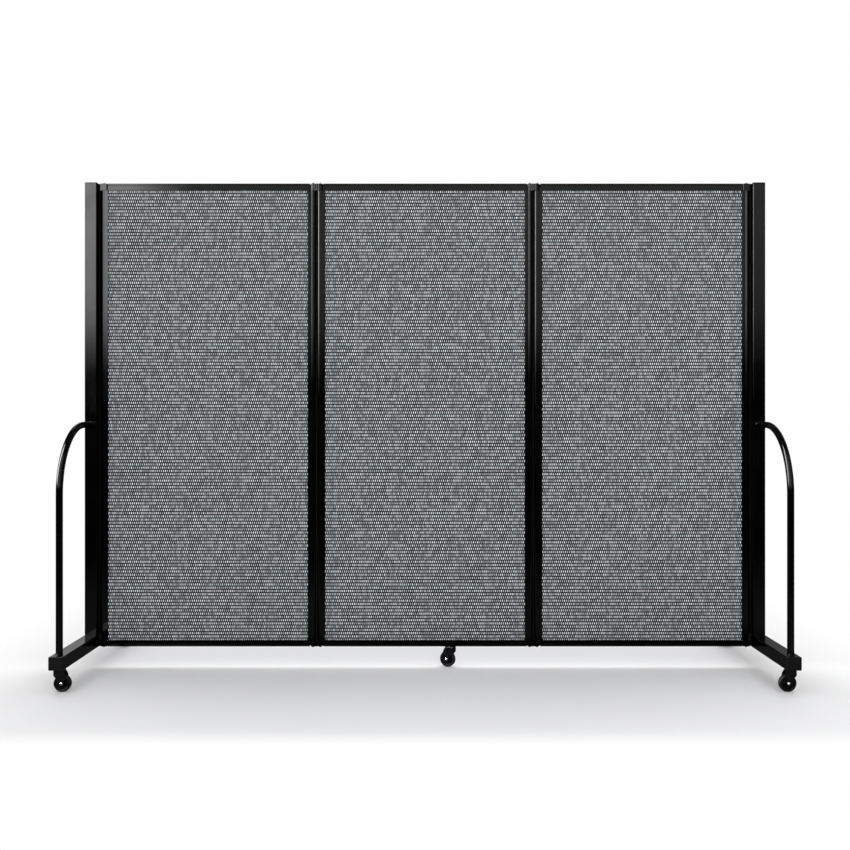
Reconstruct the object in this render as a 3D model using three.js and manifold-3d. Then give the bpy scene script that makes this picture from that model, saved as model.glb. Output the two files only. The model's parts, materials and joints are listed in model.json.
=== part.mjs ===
// Folding privacy screen on casters: three fabric panels between two wheeled end frames.
//
// Millimetres, +Z up. X runs along the open screen, Y from its front (-Y) to its back.
// The origin is on the floor, under the middle of the screen.

import * as THREE from "three";
import { mergeVertices } from "three/addons/utils/BufferGeometryUtils.js";
import Module from "manifold-3d";

const wasm = await Module();
wasm.setup();

// Panels
const panelWidth = 823;
const panelHeight = 1768;
const panelThickness = 22;
const panelGap = 6;
const floorClearance = 80;

// Panel frame profiles
const stileWidth = 30;
const topRailHeight = 27;
const bottomRailHeight = 24;
const frameLip = 2.7;
const channelDepth = 8;
const boardClearance = 0.3;
const railWall = 2.2;
const railLineInset = 6.5;
const railLineWidth = 1.4;
const railLineDepth = 0.9;

// Hinge noses, links, seals and pins
const hingeFaceWidth = 18;
const frameSetback = 0.8;
const linkSetback = 0.3;
const linkSwingClearance = 0.3;
const linkHeightClearance = 0.5;
const fluteCount = 4;
const fluteWidth = 1.8;
const fluteDepth = 0.8;
const fluteInset = 1.7;
const sealDepth = 12;
const pinDiameter = 8;
const pinClearance = 0.3;
const pinHeadDiameter = 13;
const pinHeadHeight = 5;

// End frames
const postWidth = 47;
const postDepth = 50;
const postRise = 1;
const postPanelGap = 8;
const footWidth = 52;
const footHeight = 47;
const footLength = 762;
const tubeWall = 2.5;
const tubeCorner = 4;
const capPlate = 3;
const capSkirt = 14;
const capSkirtWall = 2;

// Arched braces
const archDiameter = 24;
const archWall = 2;
const archHeight = 926;
const archBendRadius = 244;
const archLegInset = 40;

// Casters
const wheelDiameter = 60;
const wheelWidth = 18;
const treadRound = 4;
const rimWidth = 8;
const hubRadius = 12;
const webRecess = 3;
const hubRingWidth = 2.5;
const casterTrail = 12;
const stemInset = 33;
const stemDiameter = 11;
const footStemLength = 36;
const railStemLength = 10;
const stemPoint = 1.5;
const socketWall = 3;
const socketLength = 30;
const forkTop = 1;
const swivelBossDiameter = 20;
const crownDiameter = 31;
const crownThickness = 7;
const legThickness = 4;
const wheelSideClearance = 1.5;
const legEndRadius = 9.5;
const legNeck = 9.5;
const legShoulderDrop = 13;
const legNeckDrop = 21;
const legHeelDrop = 29;
const axleDiameter = 8;
const axleCapDiameter = 13;
const axleCapHeight = 2.5;
const middleCasterOffset = 98;
const middleCasterTurnDegrees = 154;

// Fits: seats that touch, holes that turn, and the overrun of a cut past its surface
const seam = 0.2;
const runningClearance = 0.3;
const cutOverrun = 1;

// Facets: counts of sides and steps
const roundSides = 12;
const boreSides = 12;
const pinSides = 10;
const wheelSides = 24;
const crownSides = 18;
const archSides = 14;
const archBoreSides = 8;
const archBendSteps = 12;
const noseSteps = 6;
const cornerSteps = 1;

// Places that follow from the sizes above
const panelTop = floorClearance + panelHeight;
const panelPitch = panelWidth + panelGap;
const noseRadius = panelThickness / 2;
const faceHalf = panelThickness / 2 - frameSetback;
const pinInset = noseRadius;
const linkRadius = noseRadius - linkSetback;
const pinRadius = pinDiameter / 2;
const pinBoreRadius = pinRadius + pinClearance;
const railEnd = pinInset + linkRadius + linkSwingClearance;
const channelHalf = panelThickness / 2 - frameLip;
const boardThickness = 2 * (channelHalf - boardClearance);
const boardTuck = channelDepth - boardClearance;
const screenEdge = 1.5 * panelWidth + panelGap;
const outerFace = screenEdge + postPanelGap + postWidth;
const postCentre = outerFace - postWidth / 2;
const footCentre = outerFace - footWidth / 2;
const footTop = floorClearance + footHeight;
const postTop = panelTop + postRise;
const stemReach = footLength / 2 - stemInset;
const archLegReach = footLength / 2 - archLegInset;
const stemRadius = stemDiameter / 2;
const stemBoreRadius = stemRadius + runningClearance;
const socketRadius = stemBoreRadius + socketWall;
const wheelRadius = wheelDiameter / 2;

const gloss = { color: 0x0a0a0c, roughness: 0.12, metalness: 0.1 };
const looks = {
  frame: gloss,
  board: { color: 0x787d80, roughness: 0.9, metalness: 0 },
  plastic: { color: 0x101012, roughness: 0.35, metalness: 0 },
  steel: { color: 0x1a1a1c, roughness: 0.3, metalness: 0.9 },
  wheel: { color: 0x121213, roughness: 0.5, metalness: 0 },
  seal: { color: 0x060607, roughness: 0.8, metalness: 0 },
  bright: { color: 0xd8d8dc, roughness: 0.12, metalness: 1 },
};

const alongX = new THREE.Matrix4().makeBasis(
  new THREE.Vector3(0, 1, 0),
  new THREE.Vector3(0, 0, 1),
  new THREE.Vector3(1, 0, 0),
);
const alongY = new THREE.Matrix4().makeBasis(
  new THREE.Vector3(0, 0, 1),
  new THREE.Vector3(1, 0, 0),
  new THREE.Vector3(0, 1, 0),
);

// Geometry helpers

function closed(geometry) {
  const bare = geometry.clone();
  bare.deleteAttribute("normal");
  bare.deleteAttribute("uv");
  return mergeVertices(bare);
}

function toManifold(geometry) {
  const merged = closed(geometry);
  return new wasm.Manifold(
    new wasm.Mesh({
      numProp: 3,
      vertProperties: new Float32Array(merged.getAttribute("position").array),
      triVerts: new Uint32Array(merged.index.array),
    }),
  );
}

function fromManifold(solid) {
  const mesh = solid.getMesh();
  const geometry = new THREE.BufferGeometry();
  geometry.setAttribute("position", new THREE.BufferAttribute(mesh.vertProperties, 3));
  geometry.setIndex(new THREE.BufferAttribute(mesh.triVerts, 1));
  geometry.computeVertexNormals();
  return geometry;
}

function join(...geometries) {
  return fromManifold(geometries.map(toManifold).reduce((a, b) => a.add(b)));
}

function cut(geometry, ...tools) {
  return fromManifold(tools.map(toManifold).reduce((a, b) => a.subtract(b), toManifold(geometry)));
}

function extrude(shape, depth, curveSegments = cornerSteps) {
  return new THREE.ExtrudeGeometry(shape, { depth, bevelEnabled: false, curveSegments });
}

function place(geometry, x, y, z) {
  return geometry.clone().translate(x, y, z);
}

function piece(name, geometry, look) {
  const mesh = new THREE.Mesh(geometry, new THREE.MeshStandardMaterial(looks[look]));
  mesh.name = name;
  return mesh;
}

function polygon(x, y, radius, sides, PathType = THREE.Path) {
  const corners = Array.from({ length: sides }, (_, i) => {
    const angle = (i / sides) * 2 * Math.PI;
    return new THREE.Vector2(x + radius * Math.cos(angle), y + radius * Math.sin(angle));
  });
  return new PathType(corners);
}

function hole(x, y, radius) {
  return polygon(x, y, radius, boreSides);
}

function roundedRectangle(width, height, radius, PathType = THREE.Shape) {
  const x = width / 2 - radius;
  const y = height / 2 - radius;
  const outline = new PathType();
  outline.absarc(x, y, radius, 0, Math.PI / 2);
  outline.absarc(-x, y, radius, Math.PI / 2, Math.PI);
  outline.absarc(-x, -y, radius, Math.PI, 1.5 * Math.PI);
  outline.absarc(x, -y, radius, 1.5 * Math.PI, 2 * Math.PI);
  outline.closePath();
  return outline;
}

function rectangularTube(width, height, length) {
  const shape = roundedRectangle(width, height, tubeCorner);
  const inner = tubeCorner - tubeWall;
  shape.holes.push(roundedRectangle(width - 2 * tubeWall, height - 2 * tubeWall, inner, THREE.Path));
  return extrude(shape, length);
}

// A closed profile of [radius, height] points turned about the local Y axis
function revolve(profile, sides) {
  return new THREE.LatheGeometry(
    profile.map(([radius, height]) => new THREE.Vector2(radius, height)),
    sides,
  );
}

function upright(geometry) {
  return geometry.rotateX(Math.PI / 2);
}

function cylinder(radius, bottom, top, sides = roundSides) {
  const rod = upright(new THREE.CylinderGeometry(radius, radius, top - bottom, sides));
  return rod.translate(0, 0, (bottom + top) / 2);
}

// Panel frames

// Plan of a stile: hinge nose with its pin bore, proud hinge face, frame face and board channel.
// The panel's edge is at x = 0 and the panel lies towards +x.
function stileShape() {
  const channelEnd = stileWidth - channelDepth;
  const shape = new THREE.Shape();
  shape.absarc(pinInset, 0, noseRadius, Math.PI / 2, 1.5 * Math.PI);
  shape.lineTo(hingeFaceWidth, -noseRadius);
  shape.lineTo(hingeFaceWidth, -faceHalf);
  shape.lineTo(stileWidth, -faceHalf);
  shape.lineTo(stileWidth, -channelHalf);
  shape.lineTo(channelEnd, -channelHalf);
  shape.lineTo(channelEnd, channelHalf);
  shape.lineTo(stileWidth, channelHalf);
  shape.lineTo(stileWidth, faceHalf);
  shape.lineTo(hingeFaceWidth, faceHalf);
  shape.lineTo(hingeFaceWidth, noseRadius);
  shape.closePath();
  shape.holes.push(hole(pinInset, 0, pinBoreRadius));
  return shape;
}

// Section of a rail, outer edge at y = 0: box with a line along each face and the board channel
function railShape(height) {
  const half = faceHalf;
  const line = half - railLineDepth;
  const lineTop = railLineInset + railLineWidth;
  const channelFloor = height - channelDepth;
  const shape = new THREE.Shape();
  shape.moveTo(-half, 0);
  shape.lineTo(half, 0);
  shape.lineTo(half, railLineInset);
  shape.lineTo(line, railLineInset);
  shape.lineTo(line, lineTop);
  shape.lineTo(half, lineTop);
  shape.lineTo(half, height);
  shape.lineTo(channelHalf, height);
  shape.lineTo(channelHalf, channelFloor);
  shape.lineTo(-channelHalf, channelFloor);
  shape.lineTo(-channelHalf, height);
  shape.lineTo(-half, height);
  shape.lineTo(-half, lineTop);
  shape.lineTo(-line, lineTop);
  shape.lineTo(-line, railLineInset);
  shape.lineTo(-half, railLineInset);
  shape.closePath();
  const chamber = new THREE.Path();
  const side = half - railWall;
  const ceiling = channelFloor - railWall;
  chamber.moveTo(-side, railWall);
  chamber.lineTo(-side, ceiling);
  chamber.lineTo(side, ceiling);
  chamber.lineTo(side, railWall);
  chamber.closePath();
  shape.holes.push(chamber);
  return shape;
}

function stile(name, edge) {
  const bottom = floorClearance + bottomRailHeight + seam;
  const top = panelTop - topRailHeight - seam;
  const mesh = piece(name, extrude(stileShape(), top - bottom, noseSteps), "frame");
  mesh.position.set((edge * panelWidth) / 2, 0, bottom);
  mesh.rotation.z = edge > 0 ? Math.PI : 0;
  return mesh;
}

function railGeometry(height) {
  const length = panelWidth - 2 * railEnd;
  return extrude(railShape(height), length).applyMatrix4(alongX).translate(-length / 2, 0, 0);
}

function topRail(name) {
  const mesh = piece(name, railGeometry(topRailHeight), "frame");
  mesh.position.z = panelTop;
  mesh.rotation.x = Math.PI;
  return mesh;
}

function bottomRail(name, casterAt = null) {
  let geometry = railGeometry(bottomRailHeight);
  if (casterAt !== null) {
    const ceiling = bottomRailHeight - channelDepth - railWall / 2;
    const socket = cylinder(socketRadius, railWall / 2, ceiling);
    const bore = cylinder(stemBoreRadius, -cutOverrun, railStemLength + cutOverrun);
    geometry = cut(join(geometry, place(socket, casterAt, 0, 0)), place(bore, casterAt, 0, 0));
  }
  const mesh = piece(name, geometry, "frame");
  mesh.position.z = floorClearance;
  return mesh;
}

function board(name) {
  const width = panelWidth - 2 * (stileWidth - boardTuck);
  const height = panelHeight - topRailHeight - bottomRailHeight + 2 * boardTuck;
  const mesh = piece(name, new THREE.BoxGeometry(width, boardThickness, height), "board");
  mesh.position.z = floorClearance + bottomRailHeight - boardTuck + height / 2;
  return mesh;
}

function panel(side, centre, casterAt = null) {
  const group = new THREE.Group();
  group.position.x = centre;
  group.add(
    stile(`panel_${side}_stile_left`, -1),
    stile(`panel_${side}_stile_right`, 1),
    topRail(`panel_${side}_rail_top`),
    bottomRail(`panel_${side}_rail_bottom`, casterAt),
    board(`panel_${side}_fabric_board`),
  );
  return group;
}

// Hinges between panels

const linkSpan = panelGap + 2 * pinInset;
const topLinkHeight = topRailHeight - linkHeightClearance;
const bottomLinkHeight = bottomRailHeight - linkHeightClearance;

// Flutes along one long face of a link: side 1 runs towards -x, side -1 towards +x
function addFlutes(shape, side) {
  const face = side * linkRadius;
  const floor = side * (linkRadius - fluteDepth);
  const edge = (side * fluteWidth) / 2;
  const last = fluteCount - 1;
  const pitch = (linkSpan - fluteWidth - 2 * fluteInset) / last;
  for (let i = 0; i < fluteCount; i += 1) {
    const x = side * (last / 2 - i) * pitch;
    shape.lineTo(x + edge, face);
    shape.lineTo(x + edge, floor);
    shape.lineTo(x - edge, floor);
    shape.lineTo(x - edge, face);
  }
}

function linkGeometry(height) {
  const shape = new THREE.Shape();
  const half = linkSpan / 2;
  shape.absarc(half, 0, linkRadius, -Math.PI / 2, Math.PI / 2);
  addFlutes(shape, 1);
  shape.absarc(-half, 0, linkRadius, Math.PI / 2, 1.5 * Math.PI);
  addFlutes(shape, -1);
  shape.closePath();
  shape.holes.push(hole(half, 0, pinBoreRadius), hole(-half, 0, pinBoreRadius));
  return extrude(shape, height, noseSteps);
}

// Full-height pin with a rounded head at each end
function pinGeometry() {
  const headRadius = pinHeadDiameter / 2;
  const low = floorClearance - seam;
  const high = panelTop + seam;
  const bevel = headRadius - pinRadius;
  const rise = pinHeadHeight - seam;
  const shoulder = rise - bevel;
  return upright(
    revolve(
      [
        [0, low - rise],
        [pinRadius, low - rise],
        [headRadius, low - shoulder],
        [headRadius, low],
        [pinRadius, low],
        [pinRadius, high],
        [headRadius, high],
        [headRadius, high + shoulder],
        [pinRadius, high + rise],
        [0, high + rise],
      ],
      pinSides,
    ),
  );
}

// Seal: a full-length strip that fills a gap beside a nose, from x = left to x = right
function sealGeometry(left, right, bottom, top) {
  const strip = new THREE.BoxGeometry(right - left, sealDepth, top - bottom);
  return place(strip, (left + right) / 2, 0, (bottom + top) / 2);
}

function hingeSeal() {
  const half = panelGap / 2 - runningClearance;
  const bottom = floorClearance + bottomLinkHeight + seam;
  return sealGeometry(-half, half, bottom, panelTop - topLinkHeight - seam);
}

function hinge(side, direction) {
  const group = new THREE.Group();
  group.position.x = (direction * panelPitch) / 2;
  const top = piece(`hinge_${side}_link_top`, linkGeometry(topLinkHeight), "frame");
  top.position.z = panelTop - topLinkHeight;
  const bottom = piece(`hinge_${side}_link_bottom`, linkGeometry(bottomLinkHeight), "frame");
  bottom.position.z = floorClearance;
  const inner = piece(`hinge_${side}_pin_inner`, pinGeometry(), "steel");
  inner.position.x = (-direction * linkSpan) / 2;
  const outer = piece(`hinge_${side}_pin_outer`, pinGeometry(), "steel");
  outer.position.x = (direction * linkSpan) / 2;
  group.add(top, bottom, inner, outer, piece(`hinge_${side}_seal`, hingeSeal(), "seal"));
  return group;
}

// End frames, built for the right end and turned about Z for the left one

// Hinge bracket: knuckle round the pin at x = 0, its flat back on the carrying face at x = reach
function bracketGeometry(reach, height) {
  const shape = new THREE.Shape();
  shape.absarc(0, 0, linkRadius, Math.PI / 2, 1.5 * Math.PI);
  shape.lineTo(reach - seam, -linkRadius);
  shape.lineTo(reach - seam, linkRadius);
  shape.closePath();
  shape.holes.push(hole(0, 0, pinBoreRadius));
  return extrude(shape, height, noseSteps);
}

function capGeometry(width, height) {
  const plate = extrude(roundedRectangle(width, height, tubeCorner), capPlate);
  const reach = 2 * (tubeWall + runningClearance);
  const corner = tubeCorner - tubeWall;
  const skirtShape = roundedRectangle(width - reach, height - reach, corner);
  const inside = 2 * capSkirtWall + reach;
  skirtShape.holes.push(roundedRectangle(width - inside, height - inside, corner, THREE.Path));
  const skirt = extrude(skirtShape, capSkirt + capPlate / 2);
  return join(plate, place(skirt, 0, 0, -capSkirt));
}

function post(side) {
  const bottom = footTop + seam;
  const top = postTop - capPlate - seam;
  const mesh = piece(`${side}_post`, rectangularTube(postWidth, postDepth, top - bottom), "frame");
  mesh.position.set(postCentre, 0, bottom);
  const cap = piece(`${side}_post_cap`, capGeometry(postWidth, postDepth), "plastic");
  cap.position.set(postCentre, 0, postTop - capPlate);
  return [mesh, cap];
}

function footTube() {
  const length = footLength - 2 * (capPlate + seam);
  const tube = rectangularTube(footHeight, footWidth, length).applyMatrix4(alongY);
  tube.translate(0, -length / 2, footHeight / 2);
  const socket = cylinder(socketRadius, tubeWall / 2, tubeWall + socketLength);
  const bore = cylinder(stemBoreRadius, -cutOverrun, tubeWall + socketLength + cutOverrun);
  const reaches = [-stemReach, stemReach];
  const sockets = reaches.map((y) => place(socket, 0, y, 0));
  const bores = reaches.map((y) => place(bore, 0, y, 0));
  return cut(join(tube, ...sockets), ...bores);
}

function foot(side, ahead) {
  const mesh = piece(`${side}_foot`, footTube(), "frame");
  mesh.position.set(footCentre, 0, floorClearance);
  const caps = [
    ["front", ahead],
    ["rear", -ahead],
  ].map(([end, direction]) => {
    const cap = piece(`${side}_foot_cap_${end}`, capGeometry(footWidth, footHeight), "plastic");
    const face = direction * (footLength / 2 - capPlate);
    cap.position.set(footCentre, face, floorClearance + footHeight / 2);
    cap.rotation.x = (-direction * Math.PI) / 2;
    return cap;
  });
  return [mesh, ...caps];
}

// Centreline of a brace: up from the foot, round the bend and level into the post.
// Its stations are the ends of the straight runs and equal steps round the bend.
class ArchLine extends THREE.Curve {
  constructor(direction) {
    super();
    this.direction = direction;
    this.steps = archBendSteps + 2;
  }

  getPoint(share, target = new THREE.Vector3()) {
    const station = share * this.steps;
    const bendY = archLegReach - archBendRadius;
    const bendZ = archHeight - archBendRadius;
    if (station < 1) {
      const foot = footTop + seam;
      return target.set(0, this.direction * archLegReach, foot + (bendZ - foot) * station);
    }
    if (station > archBendSteps + 1) {
      const face = postDepth / 2 + seam;
      const run = station - archBendSteps - 1;
      return target.set(0, this.direction * (bendY + (face - bendY) * run), archHeight);
    }
    const angle = ((station - 1) / archBendSteps) * (Math.PI / 2);
    const y = bendY + archBendRadius * Math.cos(angle);
    return target.set(0, this.direction * y, bendZ + archBendRadius * Math.sin(angle));
  }

  getPointAt(share, target) {
    return this.getPoint(share, target);
  }

  getTangentAt(share, target = new THREE.Vector3()) {
    const turned = THREE.MathUtils.clamp((share * this.steps - 1) / archBendSteps, 0, 1);
    const angle = turned * (Math.PI / 2);
    return target.set(0, -this.direction * Math.sin(angle), Math.cos(angle));
  }
}

function archGeometry(direction) {
  const shape = polygon(0, 0, archDiameter / 2, archSides, THREE.Shape);
  shape.holes.push(polygon(0, 0, archDiameter / 2 - archWall, archBoreSides));
  const line = new ArchLine(direction);
  return new THREE.ExtrudeGeometry(shape, { steps: line.steps, extrudePath: line });
}

function arch(side, end, direction) {
  const mesh = piece(`${side}_arch_${end}`, archGeometry(direction), "frame");
  mesh.position.x = postCentre;
  return mesh;
}

function endHinge(side) {
  const pinX = screenEdge - pinInset;
  const postReach = outerFace - postWidth - pinX;
  const footReach = outerFace - footWidth - pinX;
  const knuckle = place(bracketGeometry(postReach, topLinkHeight), 0, 0, panelTop - topLinkHeight);
  const sealTop = panelTop - topLinkHeight / 2;
  const nose = noseRadius + runningClearance;
  const seal = sealGeometry(nose, postReach - seam, footTop + seam, sealTop);
  const top = piece(`${side}_bracket_top`, join(knuckle, seal), "frame");
  top.position.x = pinX;
  const low = piece(`${side}_bracket_bottom`, bracketGeometry(footReach, bottomLinkHeight), "frame");
  low.position.set(pinX, 0, floorClearance);
  const pin = piece(`${side}_end_pin`, pinGeometry(), "steel");
  pin.position.x = pinX;
  return [top, low, pin];
}

// Casters, with the swivel axis at x = 0 and the wheel trailing towards +x

function wheelGeometry() {
  const half = wheelWidth / 2;
  const bore = axleDiameter / 2 + runningClearance;
  const rim = wheelRadius - rimWidth;
  const web = half - webRecess;
  const ring = hubRadius - hubRingWidth;
  const side = [
    [bore, half],
    [ring, half],
    [hubRadius, web],
    [rim, web],
    [wheelRadius - treadRound, half],
    [wheelRadius, half - treadRound],
  ];
  const outline = [...side.map(([r, y]) => [r, -y]), ...side.reverse()];
  return revolve([...outline, outline[0]], wheelSides);
}

function forkGeometry(stemLength) {
  const top = floorClearance - forkTop;
  const crownRadius = crownDiameter / 2;
  const heel = top - legHeelDrop;
  const shape = new THREE.Shape();
  shape.moveTo(-crownRadius, top);
  shape.lineTo(-crownRadius, top - legShoulderDrop);
  shape.lineTo(-legNeck, top - legNeckDrop);
  shape.lineTo(casterTrail - legEndRadius, wheelRadius);
  shape.absarc(casterTrail, wheelRadius, legEndRadius, Math.PI, 2 * Math.PI);
  shape.lineTo(crownRadius, heel);
  shape.lineTo(crownRadius, top);
  shape.closePath();
  shape.holes.push(hole(casterTrail, wheelRadius, axleDiameter / 2 + seam));
  const leg = upright(extrude(shape, legThickness, noseSteps));
  const inner = wheelWidth / 2 + wheelSideClearance;
  const crown = cylinder(crownRadius, top - crownThickness, top, crownSides);
  const bossTop = floorClearance - runningClearance;
  const boss = cylinder(swivelBossDiameter / 2, top - crownThickness / 2, bossTop);
  const tip = floorClearance + stemLength;
  const stem = upright(
    revolve(
      [
        [0, top - crownThickness / 2],
        [stemRadius, top - crownThickness / 2],
        [stemRadius, tip - stemPoint],
        [stemRadius - stemPoint, tip],
        [0, tip],
      ],
      roundSides,
    ),
  );
  return join(crown, place(leg, 0, inner + legThickness, 0), place(leg, 0, -inner, 0), boss, stem);
}

function axleGeometry() {
  const shaft = axleDiameter / 2;
  const face = wheelWidth / 2 + wheelSideClearance + legThickness + seam;
  const capRadius = axleCapDiameter / 2;
  const tip = face + axleCapHeight;
  const shoulder = tip - axleCapHeight / 2;
  const side = [
    [shaft, face],
    [capRadius, face],
    [capRadius, shoulder],
    [shaft, tip],
    [0, tip],
  ];
  const mirrored = side.map(([radius, height]) => [radius, -height]).reverse();
  return revolve([...mirrored, ...side], pinSides);
}

function caster(name, x, y, turn, stemLength) {
  const group = new THREE.Group();
  group.position.set(x, y, 0);
  group.rotation.z = turn;
  const wheel = piece(`caster_${name}_wheel`, wheelGeometry(), "wheel");
  wheel.position.set(casterTrail, 0, wheelRadius);
  const axle = piece(`caster_${name}_axle`, axleGeometry(), "bright");
  axle.position.copy(wheel.position);
  group.add(piece(`caster_${name}_fork`, forkGeometry(stemLength), "plastic"), wheel, axle);
  return group;
}

function endFrame(side) {
  const group = new THREE.Group();
  const left = side === "left";
  group.rotation.z = left ? Math.PI : 0;
  const ahead = left ? 1 : -1;
  group.add(
    ...post(side),
    ...foot(side, ahead),
    arch(side, "front", ahead),
    arch(side, "rear", -ahead),
    ...endHinge(side),
    caster(`${side}_front`, footCentre, ahead * stemReach, Math.PI, footStemLength),
    caster(`${side}_rear`, footCentre, -ahead * stemReach, Math.PI, footStemLength),
  );
  return group;
}

const screen = new THREE.Group();
screen.add(
  panel("left", -panelPitch),
  panel("middle", 0, middleCasterOffset),
  panel("right", panelPitch),
  hinge("left", -1),
  hinge("right", 1),
  endFrame("left"),
  endFrame("right"),
  caster(
    "middle",
    middleCasterOffset,
    0,
    THREE.MathUtils.degToRad(middleCasterTurnDegrees),
    railStemLength,
  ),
);

export default screen;
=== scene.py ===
"""Folding privacy screen on casters: fabric panels pinned together between wheeled end frames.

Every piece is built in metres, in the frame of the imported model: +X along the open screen,
-Y towards its front, +Z up, with the origin on the floor under the middle of the screen.
"""

import json
import math

import bmesh
import bpy
from mathutils import Matrix, Vector


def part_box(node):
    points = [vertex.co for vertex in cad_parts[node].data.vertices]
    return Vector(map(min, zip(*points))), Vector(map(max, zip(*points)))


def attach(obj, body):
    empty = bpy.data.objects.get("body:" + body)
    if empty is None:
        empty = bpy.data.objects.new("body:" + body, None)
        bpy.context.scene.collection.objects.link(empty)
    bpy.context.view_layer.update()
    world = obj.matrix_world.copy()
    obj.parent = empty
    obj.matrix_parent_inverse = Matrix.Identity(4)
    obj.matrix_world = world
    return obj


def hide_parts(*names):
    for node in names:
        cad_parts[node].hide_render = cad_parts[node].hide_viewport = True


bl_info = {
    "name": "Folding privacy screen",
    "version": (1, 0, 0),
    "blender": (4, 5, 0),
    "location": "3D View > Sidebar > Privacy screen",
    "description": "Builds the pieces of a folding fabric screen on casters over its packed frame",
    "category": "Object",
}

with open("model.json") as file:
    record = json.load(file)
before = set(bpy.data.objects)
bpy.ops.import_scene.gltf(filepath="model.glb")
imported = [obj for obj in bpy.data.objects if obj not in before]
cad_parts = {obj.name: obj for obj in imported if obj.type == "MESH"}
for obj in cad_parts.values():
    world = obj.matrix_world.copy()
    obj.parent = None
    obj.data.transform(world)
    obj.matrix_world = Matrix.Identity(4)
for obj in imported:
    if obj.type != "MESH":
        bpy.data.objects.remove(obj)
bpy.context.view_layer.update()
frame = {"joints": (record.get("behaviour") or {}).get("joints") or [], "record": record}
MM = 0.001

RECORD = frame["record"]
BODY = {node: body for body, nodes in RECORD["behaviour"]["bodies"].items() for node in nodes}
JOINTS = {joint["name"]: joint for joint in frame["joints"]}

PANELS = ("left", "middle", "right")
SIDES = ("left", "right")
CASTERS = ("left_front", "left_rear", "right_front", "right_rear", "middle")

# Panel frame profiles, in millimetres
STILE_WIDTH = 30.0
NOSE_RADIUS = 11.0
HINGE_FACE_WIDTH = 14.5
FACE_SLOPE = 0.45
FACE_HALF = 10.2
CHANNEL_HALF = 8.3
CHANNEL_DEPTH = 8.0
RAIL_WALL = 2.2
LINE_INSET = 6.5
LINE_WIDTH = 1.4
LINE_DEPTH = 0.9
PIN_BORE = 4.3
RAIL_NICK = 2.0
WEDGE_DEPTH = 40.0

# Hinge links, brackets, seals and pins
LINK_RADIUS = 10.7
BLOCK_HEIGHT = 26.5
FLUTES = (15.0, 7.5, 0.0, -7.5, -15.0)
FLUTE_WIDTH = 2.3
FLUTE_DEPTH = 0.78
LINK_NICK = 2.8
LIP_ROUND = 0.25
LINK_EDGE = 0.4
END_BLOCK_INNER = 13.1
END_BLOCK_NECK = 5.0
END_RAIL_SETBACK = 7.0
SEAL_HALF = 6.0
SEAL_WAIST = 2.6
SEAL_HOLLOW = 0.25
SEAL_CORNER = 0.7
SEAL_EDGE = 0.2
PIN_RADIUS = 4.0
PIN_HEAD_RADIUS = 4.7
PIN_HEAD = 4.8
PIN_DOME = 3.2

# End frames
TUBE_WALL = 2.5
TUBE_CORNER = 4.0
CAP_PLATE = 3.0
CAP_EDGE = 1.2
CAP_SKIRT_GAP = 0.3
CAP_SKIRT_WALL = 2.0
SOCKET_RADIUS = 8.8
STEM_BORE = 5.8
ARCH_RADIUS = 12.0
ARCH_BEND = 244.0
WELD_POINTS = 130

# Sockets for the casters' stems, as start and length of the wall and of the bore
FOOT_SOCKET = ((TUBE_WALL / 2, 30.0 + TUBE_WALL / 2), (-1.0, 32.0 + TUBE_WALL))
RAIL_SOCKET = ((1.1, 13.8), (-1.0, 12.0))

# Casters
WHEEL_RADIUS = 30.0
WHEEL_HALF = 9.0
TREAD_ROUND = 4.0
RIM_WIDTH = 8.0
HUB_RADIUS = 12.0
HUB_RING = 2.5
WEB_RECESS = 3.0
TRAIL = 12.0
STEM_RADIUS = 5.5
FORK_TOP = 79.0
CROWN_RADIUS = 15.5
CROWN_THICKNESS = 7.0
CROWN_EDGES = (1.2, 2.2)
CROWN_ROUND = 1.4
BOSS_RADIUS = 10.0
BOSS_TOP = 79.7
LEG_INNER = 10.5
LEG_THICKNESS = 4.0
LEG_END = 9.5
FORK_FRONT = ((-15.5, 21.0), (-11.0, 26.0))
FORK_HOOD = ((27.0, 26.0), (24.5, 15.0), (17.5, 4.0))
HOOD_START = 17.0
FORK_CORNER = 5.0
SHOULDER = 4.2
BLANK_DEPTH = 60.0
AXLE_RADIUS = 4.0
AXLE_CAP_RADIUS = 5.0
AXLE_CAP_HEIGHT = 2.5
AXLE_CAP_SIDE = ((-0.3, 0.0), (0.0, 0.3), (0.0, 0.7), (-0.5, 1.0), (-1.4, 1.0))


# Outlines


def arc(x, y, radius, start, end, steps):
    """Points of an arc, in degrees, both ends included."""
    angles = [math.radians(start + (end - start) * i / steps) for i in range(steps + 1)]
    return [(x + radius * math.cos(a), y + radius * math.sin(a)) for a in angles]


def circle(x, y, radius, sides=32):
    """A closed circle as a loop of points."""
    return arc(x, y, radius, 0, 360, sides)[:-1]


def rounded(points, radius, steps=3, closed=True, sharpest=160.0):
    """The outline with its corners rounded, and those that hardly turn left as they are."""
    result = []
    count = len(points)
    for i, point in enumerate(points):
        here = Vector(point)
        back = Vector(points[i - 1]) - here
        ahead = Vector(points[(i + 1) % count]) - here
        kept = (not closed and i in (0, count - 1)) or back.length < 1e-9 or ahead.length < 1e-9
        if kept or back.angle(ahead) > math.radians(sharpest):
            result.append(point)
            continue
        half_open = math.tan(back.angle(ahead) / 2)
        reach = min(radius / half_open, 0.48 * back.length, 0.48 * ahead.length)
        actual = reach * half_open
        bisector = (back.normalized() + ahead.normalized()).normalized()
        centre = here + bisector * (actual / math.sin(back.angle(ahead) / 2))
        first = here + back.normalized() * reach - centre
        last = here + ahead.normalized() * reach - centre
        turn = first.angle_signed(last) if first.length > 1e-9 else 0.0
        for step in range(steps + 1):
            sine, cosine = math.sin(-turn * step / steps), math.cos(-turn * step / steps)
            spun = Vector((first.x * cosine - first.y * sine, first.x * sine + first.y * cosine))
            result.append(tuple(centre + spun))
    return result


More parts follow.
